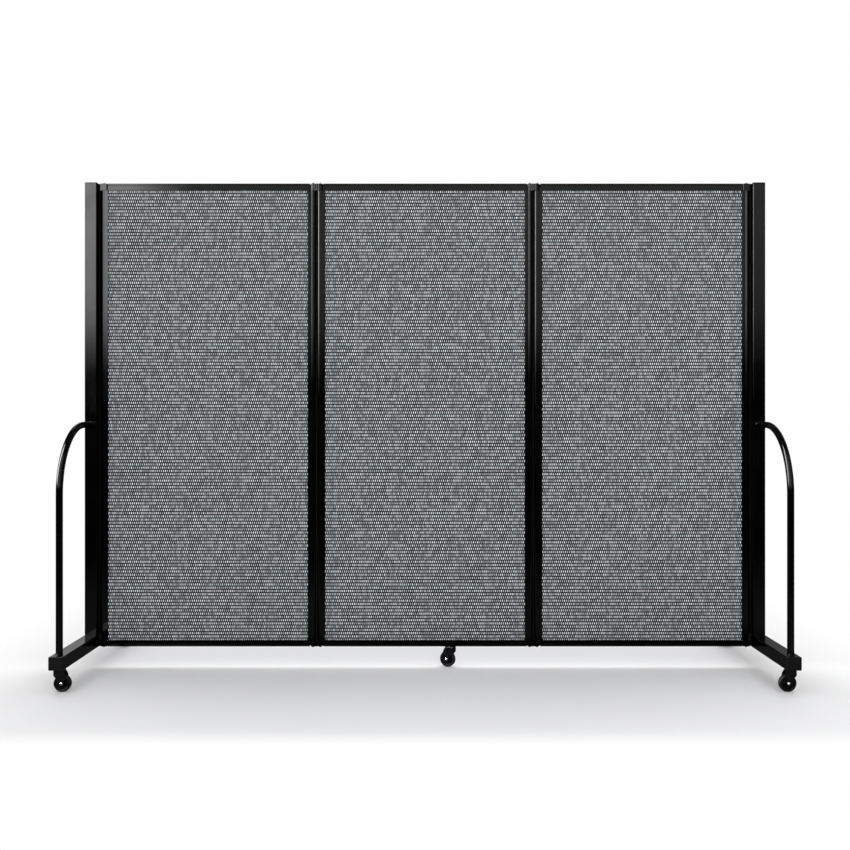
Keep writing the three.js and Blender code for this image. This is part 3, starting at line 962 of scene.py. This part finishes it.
def pin(node):
    """A full-length pin with a domed head at each end."""
    _, _, middle, (_, _, length) = extent(node)
    seat = length / 2 - PIN_HEAD
    base = seat + PIN_HEAD - PIN_DOME
    dome = [(x * PIN_HEAD_RADIUS, base + y * PIN_DOME) for x, y in arc(0, 0, 1.0, 0, 90, 8)]
    upper = [
        (PIN_RADIUS, seat),
        (PIN_HEAD_RADIUS - 0.4, seat),
        (PIN_HEAD_RADIUS, seat + 0.4),
        *dome[:-1],
        (0.0, seat + PIN_HEAD),
    ]
    lower = [(radius, -height) for radius, height in reversed(upper)]
    shape = moved(turned([*lower, *upper], 32), Matrix.Translation(middle))
    finished(f"{node}_rod", shape, "pin", node, angle=50.0)


def bracket(node, outward, sizes):
    """A block with a knuckle round the end pin; outward is its side's sign."""
    low, high, _, (width, _, length) = extent(node)
    reach = width - LINK_RADIUS
    height = min(length, BLOCK_HEIGHT)
    inner = math.degrees(math.atan2(LINK_RADIUS, -END_BLOCK_INNER))
    knuckle = arc(0, 0, math.hypot(END_BLOCK_INNER, LINK_RADIUS), inner, 360 - inner, 16)
    side = [(NOSE_RADIUS, -LINK_RADIUS), (NOSE_RADIUS, -END_BLOCK_NECK), (reach, -END_BLOCK_NECK)]
    outline = rounded([*knuckle, *both_sides(side)], sizes.corner / MM, 2, sharpest=150.0)
    shape = prism(outline, [circle(0, 0, PIN_BORE, 24)], height, sizes.cut_edge / MM)
    axis = (high.x - reach * MM) if outward > 0 else (low.x + reach * MM)
    place = basis((outward, 0, 0), (0, 1, 0), (0, 0, 1), (axis, 0, high.z - height * MM))
    finished(f"{node}_block", moved(shape, place), "extrusion", node)


def seal(name, node, left, right, bottom, top):
    """A flexible strip that closes a gap, its long sides hollowed by the noses that rub on it."""
    half = (right - left) / MM / 2
    waist = half - SEAL_HOLLOW
    side = [(half, SEAL_HALF), (waist, SEAL_WAIST), (waist, -SEAL_WAIST), (half, -SEAL_HALF)]
    outline = [*side, *[(-x, -y) for x, y in side]]
    shape = prism(rounded(outline, SEAL_CORNER, 4), [], (top - bottom) / MM, SEAL_EDGE)
    place = Matrix.Translation(((left + right) / 2, 0, bottom))
    piece = finished(name, moved(shape, place), "seal", node)


def post_seal(side, outward):
    """The strip between the outer panel's nose and its post, under the top block."""
    node = f"{side}_bracket_top"
    low, high, _, _ = extent(node)
    width = high.x - low.x - (LINK_RADIUS + NOSE_RADIUS + 0.3) * MM
    left = high.x - width if outward > 0 else low.x
    seal(f"{side}_post_seal_strip", node, left, left + width, low.z, high.z - BLOCK_HEIGHT * MM)


class PRIVACY_SCREEN_OT_hinges(bpy.types.Operator):
    """Builds the fluted link blocks, the end brackets, the seals and every hinge pin"""

    bl_idname = "privacy_screen.hinges"
    bl_label = "Hinges"

    def execute(self, context):
        sizes = context.scene.screen_sizes
        for side, outward in zip(SIDES, (-1, 1)):
            for end, upward in (("top", 1), ("bottom", -1)):
                node = f"hinge_{side}_link_{end}"
                low, high, _, _ = extent(node)
                finished(f"{node}_block", fluted_block(low, high, upward), "extrusion", node)
                bracket(f"{side}_bracket_{end}", outward, sizes)
            low, high, _, _ = extent(f"hinge_{side}_seal")
            seal(f"hinge_{side}_seal_strip", f"hinge_{side}_seal", low.x, high.x, low.z, high.z)
            post_seal(side, outward)
            for node in (f"hinge_{side}_pin_inner", f"hinge_{side}_pin_outer", f"{side}_end_pin"):
                pin(node)
        return {"FINISHED"}


# End frames


def cap(node, axis, outward):
    """A tube's end cap: a plate with a soft outer edge, and a skirt inside the tube."""
    low, high, middle, size = extent(node)
    index = "XYZ".index(axis)
    turns, others = {
        "Y": (((0, 0, 1), (1, 0, 0)), (2, 0)),
        "Z": (((1, 0, 0), (0, 1, 0)), (0, 1)),
    }[axis]
    width, depth, length = [size[i] for i in (*others, index)]
    plate = prism(rounded_rectangle(width, depth, TUBE_CORNER), [], CAP_PLATE)
    rims = [
        e for e in plate.edges
        if all(v.co.z > CAP_PLATE / 2 for v in e.verts) and e.calc_face_angle(0.0) > 1.0
    ]
    bevel(plate, rims, CAP_EDGE, 4)
    gap = 2 * (TUBE_WALL + CAP_SKIRT_GAP)
    walls = [
        rounded_rectangle(width - less, depth - less, TUBE_CORNER - TUBE_WALL, 4)
        for less in (gap, gap + 2 * CAP_SKIRT_WALL)
    ]
    skirt = prism(walls[0], walls[1:], length - CAP_PLATE / 2)
    forward = Vector([outward if i == index else 0 for i in range(3)])
    start = Vector(middle)
    start[index] = low[index] if outward > 0 else high[index]
    place = basis(*turns, forward, start)
    lifted = Matrix.Translation(forward * (length - CAP_PLATE) * MM) @ place
    shape = carved(moved(plate, lifted), ("UNION", moved(skirt, place)))
    finished(f"{node}_moulding", shape, "moulding", node)


def tube(width, depth, length, sizes):
    """A rectangular tube, still in millimetres."""
    inner = TUBE_CORNER - TUBE_WALL
    bore = rounded_rectangle(width - 2 * TUBE_WALL, depth - 2 * TUBE_WALL, inner, 4)
    return prism(rounded_rectangle(width, depth, TUBE_CORNER), [bore], length, sizes.cut_edge / MM)


def post(node, sizes):
    """The upright tube at one end of the screen."""
    low, _, middle, size = extent(node)
    place = Matrix.Translation((middle.x, middle.y, low.z))
    finished(f"{node}_tube", moved(tube(*size, sizes), place), "tube", node)


def foot(side, sizes):
    """The tube along the floor under one post, with a socket for each caster."""
    node = f"{side}_foot"
    low, _, middle, (width, length, height) = extent(node)
    place = basis((0, 0, 1), (1, 0, 0), (0, 1, 0), (middle.x, low.y, middle.z))
    shape = moved(tube(height, width, length, sizes), place)
    stems = [JOINTS[f"swivel_{side}_{end}"]["pos_m"] for end in ("front", "rear")]
    finished(f"{node}_tube", socketed(shape, stems, low.z, FOOT_SOCKET), "tube", node)


class PRIVACY_SCREEN_OT_end_frames(bpy.types.Operator):
    """Builds the posts, the feet and their end caps"""

    bl_idname = "privacy_screen.end_frames"
    bl_label = "Posts and feet"

    def execute(self, context):
        sizes = context.scene.screen_sizes
        for side in SIDES:
            post(f"{side}_post", sizes)
            foot(side, sizes)
            cap(f"{side}_post_cap", "Z", 1)
            cap(f"{side}_foot_cap_front", "Y", -1)
            cap(f"{side}_foot_cap_rear", "Y", 1)
        return {"FINISHED"}


# Arched braces


def bent_tube_tree():
    """Geometry nodes: a tube up from the foot, round a bend and level into the post, with welds."""
    inputs = {
        "Foot": "Vector",
        "Corner": "Vector",
        "Post": "Vector",
        "Bend Radius": 0.244,
        "Tube Radius": 0.012,
        "Sides": 40,
        "Bend Steps": 40,
        "Bead": 0.0026,
        "Bead Ripples": 26,
        "Material": "Material",
    }
    group, tree, given, out = new_group("Bent tube", "GeometryNodeTree", inputs, {"Geometry": "Geometry"})
    index = tree.get("GeometryNodeInputIndex")
    points = tree.get("GeometryNodeMeshLine", {"Count": 3})
    place = tree.add("GeometryNodeIndexSwitch", data_type="VECTOR")
    place.index_switch_items.new()
    tree.fill(place, {"Index": index, "0": given["Foot"], "1": given["Corner"], "2": given["Post"]})
    line = tree.get("GeometryNodeSetPosition", {"Geometry": points, "Position": place.outputs[0]})
    curve = tree.get("GeometryNodeMeshToCurve", {"Mesh": line})
    bend = tree.add("GeometryNodeFilletCurve", {"Curve": curve, "Radius": given["Bend Radius"]})
    if hasattr(bend, "mode"):
        bend.mode = "POLY"
    tree.fill(bend, {"Count": given["Bend Steps"]})

    def swept(path, sides, radius, **more):
        """A round bar along a curve."""
        circle_inputs = {"Resolution": sides, "Radius": radius}
        section = tree.get("GeometryNodeCurvePrimitiveCircle", circle_inputs)
        return tree.get("GeometryNodeCurveToMesh", {"Curve": path, "Profile Curve": section, **more})

    joined = tree.add("GeometryNodeJoinGeometry")
    bar = swept(bend.outputs[0], given["Sides"], given["Tube Radius"], **{"Fill Caps": True})
    tree.link(bar, joined.inputs[0])

    # Each weld is a thin rippled ring on the tube's end
    for label, turn in (("Foot", 0.0), ("Post", math.pi / 2)):
        ring = {"Resolution": WELD_POINTS, "Radius": given["Tube Radius"]}
        seam = tree.get("GeometryNodeCurvePrimitiveCircle", ring)
        step = tree.get("GeometryNodeInputIndex") * given["Bead Ripples"] * (2 * math.pi)
        thickness = tree.math("SINE", step / float(WELD_POINTS)) * 0.07 + 0.93
        fat = tree.get("GeometryNodeSetCurveRadius", {"Curve": seam, "Radius": thickness})
        bead = swept(fat, 10, given["Bead"])
        seat = {"Geometry": bead, "Translation": given[label], "Rotation": (turn, 0.0, 0.0)}
        tree.link(tree.get("GeometryNodeTransform", seat), joined.inputs[0])
    link_all(tree, out, {"Geometry": dressed(tree, joined.outputs[0], given["Material"])})
    return group


class PRIVACY_SCREEN_OT_arches(bpy.types.Operator):
    """Builds the four arched braces between the feet and the posts"""

    bl_idname = "privacy_screen.arches"
    bl_label = "Arched braces"

    def execute(self, context):
        tree = bent_tube_tree()
        for side in SIDES:
            for end, ahead in (("front", -1), ("rear", 1)):
                node = f"{side}_arch_{end}"
                low, high, middle, _ = extent(node)
                leg = (low.y if ahead < 0 else high.y) - ahead * ARCH_RADIUS * MM
                level = high.z - ARCH_RADIUS * MM
                values = {
                    "Foot": (middle.x, leg, low.z),
                    "Corner": (middle.x, leg, level),
                    "Post": (middle.x, high.y if ahead < 0 else low.y, level),
                    "Bend Radius": ARCH_BEND * MM,
                    "Tube Radius": ARCH_RADIUS * MM,
                    "Sides": 40,
                    "Bend Steps": 40,
                    "Bead": context.scene.screen_sizes.bead / 2,
                    "Bead Ripples": 26,
                    "Material": MATERIALS["tube"],
                }
                finished(f"{node}_bent_tube", grown(tree, node, values), "tube", node, angle=50.0)
        return {"FINISHED"}


# Casters, built with the swivel axis at x = 0 and the wheel trailing towards +x

AT_HUB = basis((1, 0, 0), (0, 0, 1), (0, -1, 0), (TRAIL, 0, WHEEL_RADIUS))


def yoke(node, place):
    """The fork: a round shouldered bridge cut to its side outline, with boss and stem."""
    tip = extent(node)[1].z / MM
    outline = [
        (-CROWN_RADIUS, FORK_TOP + 2),
        *[(x, FORK_TOP - drop) for x, drop in FORK_FRONT],
        (TRAIL - LEG_END, WHEEL_RADIUS + 2),
        *arc(TRAIL, WHEEL_RADIUS, LEG_END, 190, 345, 20),
        *[(x, FORK_TOP - drop) for x, drop in FORK_HOOD],
        (HOOD_START, FORK_TOP + 2),
    ]
    outer = LEG_INNER + LEG_THICKNESS
    under = FORK_TOP - CROWN_THICKNESS
    span = [(outer, 0), (outer, FORK_TOP), (-outer, FORK_TOP), (-outer, 0)]
    span += [(-LEG_INNER, 0), (-LEG_INNER, under), (LEG_INNER, under), (LEG_INNER, 0)]
    bridge = prism(rounded(span, SHOULDER, 8), [], BLANK_DEPTH)
    bridge.transform(basis((0, 1, 0), (0, 0, 1), (1, 0, 0), (-BLANK_DEPTH / 2, 0, 0)))
    side = prism(rounded(outline, FORK_CORNER, 8), [], BLANK_DEPTH)
    side.transform(basis((1, 0, 0), (0, 0, 1), (0, -1, 0), (0, BLANK_DEPTH / 2, 0)))
    lower, upper = CROWN_EDGES
    rim = [
        (CROWN_RADIUS - lower, under),
        (CROWN_RADIUS, under + lower),
        (CROWN_RADIUS, FORK_TOP - upper),
        (CROWN_RADIUS - upper, FORK_TOP),
    ]
    crown = turned([(0, under), *rounded(rim, CROWN_ROUND, 4, closed=False), (0, FORK_TOP)], 64)
    low = FORK_TOP - 2
    boss = [(0, low), (BOSS_RADIUS, low), (BOSS_RADIUS, BOSS_TOP - 0.3), (BOSS_RADIUS - 0.3, BOSS_TOP)]
    low = FORK_TOP - 3
    stem = [(0, low), (STEM_RADIUS, low), (STEM_RADIUS, tip - 1.5), (STEM_RADIUS - 1.5, tip)]
    hole = turned([(0, -20), (AXLE_RADIUS + 0.2, -20), (AXLE_RADIUS + 0.2, 20), (0, 20)], 32)
    hole.transform(AT_HUB)
    shape = carved(
        bridge,
        ("INTERSECT", side),
        ("UNION", crown),
        ("UNION", turned([*boss, (0, BOSS_TOP)], 48)),
        ("UNION", turned([*stem, (0, tip)], 32)),
        ("DIFFERENCE", hole),
    )
    finished(f"{node}_yoke", moved(shape, place), "yoke", node, angle=42.0)


def tyre_and_hub(node, place):
    """The wheel: rounded tread, recessed web, hub and a raised ring, turned as one piece."""
    bore = AXLE_RADIUS + 0.3
    rim = WHEEL_RADIUS - RIM_WIDTH
    web = WHEEL_HALF - WEB_RECESS
    ring = HUB_RADIUS - HUB_RING
    half = [
        (bore, WHEEL_HALF - 0.6),
        (bore + 0.6, WHEEL_HALF),
        (ring - 0.4, WHEEL_HALF),
        (ring, WHEEL_HALF - 1.1),
        (ring + 0.7, WHEEL_HALF - 1.1),
        (ring + 1.1, WHEEL_HALF - 0.2),
        (HUB_RADIUS - 0.7, WHEEL_HALF - 0.2),
        (HUB_RADIUS + 0.3, web),
        (rim - 0.6, web),
        (rim + 0.5, WHEEL_HALF - 0.8),
        (rim + 1.2, WHEEL_HALF),
        (WHEEL_RADIUS - TREAD_ROUND - 0.6, WHEEL_HALF),
    ]
    tread = arc(WHEEL_RADIUS - TREAD_ROUND, WHEEL_HALF - TREAD_ROUND, TREAD_ROUND, 88, 0, 8)
    side = [*rounded(half, 0.5, 3, closed=False), *tread]
    shape = turned([*[(r, -h) for r, h in side], *reversed(side)], 96, closed=True)
    for face in shape.faces:
        reach = face.calc_center_median()
        if math.hypot(reach.x, reach.y) > rim + 0.6:
            face.material_index = 1
    shape.transform(AT_HUB)
    finished(f"{node}_tyre_and_hub", moved(shape, place), "yoke tread", node, angle=50.0)


def rivet(node, place):
    """The bright axle with a domed cap over each leg."""
    face = LEG_INNER + LEG_THICKNESS + 0.2
    button, base = AXLE_CAP_RADIUS - 1.6, 1.0
    rise = AXLE_CAP_HEIGHT - base
    side = [
        (AXLE_RADIUS, face),
        *[(AXLE_CAP_RADIUS + out, face + up) for out, up in AXLE_CAP_SIDE],
        *[(button * x, face + base + rise * y) for x, y in arc(0, 0, 1.0, 0, 90, 10)[:-1]],
        (0.0, face + AXLE_CAP_HEIGHT),
    ]
    shape = turned([*[(radius, -height) for radius, height in reversed(side)], *side], 48)
    shape.transform(AT_HUB)
    finished(f"{node}_rivet", moved(shape, place), "bright", node, angle=50.0)


def caster_place(name):
    """Where a caster stands: its swivel axis, and the way that its wheel trails."""
    swivel = Vector(JOINTS[f"swivel_{name}"]["pos_m"]).xy
    hub = Vector(JOINTS[f"roll_{name}"]["pos_m"]).xy
    trail = (hub - swivel).normalized()
    return basis((trail.x, trail.y, 0), (-trail.y, trail.x, 0), (0, 0, 1), (swivel.x, swivel.y, 0))


class PRIVACY_SCREEN_OT_casters(bpy.types.Operator):
    """Builds the five casters: fork, wheel and axle"""

    bl_idname = "privacy_screen.casters"
    bl_label = "Casters"

    def execute(self, context):
        for name in CASTERS:
            place = caster_place(name)
            yoke(f"caster_{name}_fork", place)
            tyre_and_hub(f"caster_{name}_wheel", place)
            rivet(f"caster_{name}_axle", place)
        return {"FINISHED"}


# Stage

PICTURE_WIDTH = 850.0
FOCAL_LENGTH = 970.0  # In the picture's pixels
SENSOR_WIDTH = 36.0
CAMERA_RISE = 2.0
CAMERA_PLACE = (0.0, -3.715, 0.918)

# Lamps, as place, target, size and power
LAMPS = {
    "key_light": ((0.9, -4.4, 1.75), (0, 0, 0.85), (3.0, 2.2), 56),
    "back_light": ((-0.1, 2.1, 6.6), (-0.1, 0, 0.3), (9.0, 3.6), 255),
}
RING_RADIUS = 14.0
RING_SIDES = 96
RING_ENDS = (1.2, 26.0)
RING_HEIGHTS = (
    (1.5, 0.0), (1.85, 0.1), (2.2, 0.6), (2.5, 1.5), (2.9, 2.65), (3.4, 3.15), (4.9, 3.75),
)
# Brightness by the way that a reflection leaves, in degrees: 0 is to the front, + to the right
RING_WAYS = (
    (-150, 0.33), (-140, 0.0), (-91, 0.0), (-89, 21.0), (-58.5, 21.0), (-57, 0.0), (-27, 0.0),
    (-25.5, 9.0), (-22.1, 8.35), (-21.2, 8.0), (-20.2, 5.5), (-19.3, 3.0), (-18.3, 1.34), (-17, 1.0),
    (35, 1.0), (60, 0.1), (140, 0.1), (150, 0.1),
)
FLOOR_REACH = 30.0
FLOOR_FRONT = (0.9, 0.9, 0.91, 1)
# Floor colour behind the screen: darker than in front, a painted shadow
FLOOR_PAINTED_SHADOW = (0.82, 0.82, 0.83, 1)
FLOOR_LIFT = 0.035
FLOOR_SHEEN = ((0.45, 0.1), (0.6, 0.7), (1.0, 0.7), (1.5, 0.5), (3.0, 0.0))
WORLD_LIGHT = 0.66
WORLD_MIRRORED = 0.1


def reflection_ring():
    """A wall of light round the stage that only shows in reflections."""
    shape = bmesh.new()
    wall = circle(0, 0, RING_RADIUS, RING_SIDES)
    low, high = [[shape.verts.new((x, y, z)) for x, y in wall] for z in RING_ENDS]
    for i in range(RING_SIDES):
        shape.faces.new([low[i - 1], low[i], high[i], high[i - 1]])
    ring = placed("reflection_ring", mesh_of(shape, "reflection_ring"))
    ring.visible_camera = ring.visible_diffuse = ring.visible_shadow = False
    ring.visible_transmission = ring.visible_volume_scatter = False
    material = bpy.data.materials.new("Reflected light")
    material.use_nodes = True
    material.node_tree.nodes.clear()
    tree = Tree(material.node_tree)
    x, y, z = tree.split(tree.get("ShaderNodeTexCoord", output="Object"))
    way = tree.math("DEGREES", tree.math("ARCTAN2", x, y * -1.0))
    level = tree.profile(z, RING_HEIGHTS) * tree.profile(way, RING_WAYS)
    tree.add("ShaderNodeOutputMaterial", {0: tree.get("ShaderNodeEmission", {"Strength": level})})
    ring.data.materials.append(material)


def area_light(name, place, target, size, power):
    """A soft rectangular lamp that points at target."""
    lamp = bpy.data.lights.new(name, "AREA")
    lamp.shape = "RECTANGLE"
    lamp.size, lamp.size_y = size
    lamp.energy = power
    lamp.specular_factor = 0.0
    light = placed(name, lamp)
    light.location = place
    light.rotation_euler = (Vector(target) - Vector(place)).to_track_quat("-Z", "Y").to_euler()
    light.visible_glossy = False


def pale_floor():
    """A pale floor that keeps the screen's shadow and runs out into the white backdrop; behind the screen
    its colour is painted darker, a painted shadow.
    """
    mesh = bpy.data.meshes.new("studio_floor")
    corners = [(x * FLOOR_REACH, y * FLOOR_REACH, 0) for x, y in ((-1, -1), (1, -1), (1, 1), (-1, 1))]
    mesh.from_pydata(corners, [], [(0, 1, 2, 3)])
    floor = placed("studio_floor", mesh)
    material, tree, shader, place = new_material("Pale studio floor")
    x, y, _ = tree.split(place)
    ahead = y * -1.0
    # Painted shadow: the floor's colour darkens behind the screen, between y = -0.05 and 0.16
    colour = tree.mix(tree.smooth(y, -0.05, 0.16), FLOOR_FRONT, FLOOR_PAINTED_SHADOW)
    tree.fill(shader, {"Base Color": colour, "Roughness": 0.9, "Specular IOR Level": 0.0})
    off_y = tree.math("MAXIMUM", tree.smooth(ahead, 0.76, 0.94), tree.smooth(y, 0.5, 1.6))
    away = tree.math("MAXIMUM", off_y, tree.smooth(abs(x), 1.32, 1.9))
    path = tree.add("ShaderNodeLightPath").outputs
    seen = Value(tree, path["Is Camera Ray"])

    def glow(strength):
        return tree.get("ShaderNodeEmission", {"Color": (1, 1, 1, 1), "Strength": strength})

    lifted = tree.get("ShaderNodeAddShader", {0: shader.outputs[0], 1: glow(seen * FLOOR_LIFT)})
    mixed = tree.get("ShaderNodeMixShader", {0: away * seen, 1: lifted, 2: glow(1.0)})
    sheen = glow(tree.profile(ahead, FLOOR_SHEEN))
    mirrored = tree.get("ShaderNodeMixShader", {0: path["Is Glossy Ray"], 1: mixed, 2: sheen})
    tree.link(mirrored, material.node_tree.nodes["Material Output"].inputs[0])
    mesh.materials.append(material)


def white_world():
    """White where the camera sees it, nearly black in reflections, and a plain grey light."""
    world = bpy.data.worlds.new("Studio")
    bpy.context.scene.world = world
    world.use_nodes = True
    world.node_tree.nodes.clear()
    tree = Tree(world.node_tree)
    path = tree.add("ShaderNodeLightPath").outputs
    bright = tree.math("MAXIMUM", path["Is Camera Ray"], path["Is Transmission Ray"])
    lit = tree.get("ShaderNodeMapRange", {"Value": bright, "To Min": WORLD_LIGHT, "To Max": 1.0})
    strength = lit - Value(tree, path["Is Glossy Ray"]) * (WORLD_LIGHT - WORLD_MIRRORED)
    glow = tree.get("ShaderNodeBackground", {"Color": (1, 1, 1, 1), "Strength": strength})
    tree.add("ShaderNodeOutputWorld", {0: glow})


def camera():
    """The photograph's view: straight on, level, from the height of the screen's middle."""
    data = bpy.data.cameras.new("camera")
    data.sensor_width = SENSOR_WIDTH
    data.lens = FOCAL_LENGTH / PICTURE_WIDTH * SENSOR_WIDTH
    data.shift_y = CAMERA_RISE / PICTURE_WIDTH
    view = placed("camera", data)
    view.location = CAMERA_PLACE
    view.rotation_euler = (math.pi / 2, 0.0, 0.0)
    bpy.context.scene.camera = view


class PRIVACY_SCREEN_OT_stage(bpy.types.Operator):
    """Sets the floor, the backdrop, the lamps, the wall of reflected light and the camera"""

    bl_idname = "privacy_screen.stage"
    bl_label = "Stage"

    def execute(self, context):
        white_world()
        pale_floor()
        camera()
        for name, settings in LAMPS.items():
            area_light(name, *settings)
        reflection_ring()
        return {"FINISHED"}


class PRIVACY_SCREEN_PT_panel(bpy.types.Panel):
    """Lists the builders and the sizes and colours that they use"""

    bl_idname = "PRIVACY_SCREEN_PT_panel"
    bl_label = "Privacy screen"
    bl_space_type = "VIEW_3D"
    bl_region_type = "UI"
    bl_category = "Privacy screen"

    def draw(self, context):
        scene = context.scene
        for settings, names in ((scene.screen_sizes, SIZES), (scene.screen_colours, COLOURS)):
            box = self.layout.box()
            for name in names:
                box.prop(settings, name)
        for operator in OPERATORS:
            self.layout.operator(operator.bl_idname)


OPERATORS = (
    PRIVACY_SCREEN_OT_panel_frames,
    PRIVACY_SCREEN_OT_cloth,
    PRIVACY_SCREEN_OT_hinges,
    PRIVACY_SCREEN_OT_end_frames,
    PRIVACY_SCREEN_OT_arches,
    PRIVACY_SCREEN_OT_casters,
    PRIVACY_SCREEN_OT_stage,
)
CLASSES = (ScreenSizes, ScreenColours, *OPERATORS, PRIVACY_SCREEN_PT_panel)


def register():
    for cls in CLASSES:
        bpy.utils.register_class(cls)
    bpy.types.Scene.screen_sizes = bpy.props.PointerProperty(type=ScreenSizes)
    bpy.types.Scene.screen_colours = bpy.props.PointerProperty(type=ScreenColours)


def unregister():
    del bpy.types.Scene.screen_colours
    del bpy.types.Scene.screen_sizes
    for cls in reversed(CLASSES):
        bpy.utils.unregister_class(cls)


def main():
    """Builds every piece, then the stage."""
    register()
    bpy.context.scene.view_settings.view_transform = "Standard"
    make_materials(bpy.context.scene.screen_colours)
    bpy.ops.privacy_screen.panel_frames()
    bpy.ops.privacy_screen.cloth()
    bpy.ops.privacy_screen.hinges()
    bpy.ops.privacy_screen.end_frames()
    bpy.ops.privacy_screen.arches()
    bpy.ops.privacy_screen.casters()
    bpy.ops.privacy_screen.stage()
    bpy.context.view_layer.update()


if __name__ == "__main__":
    main()
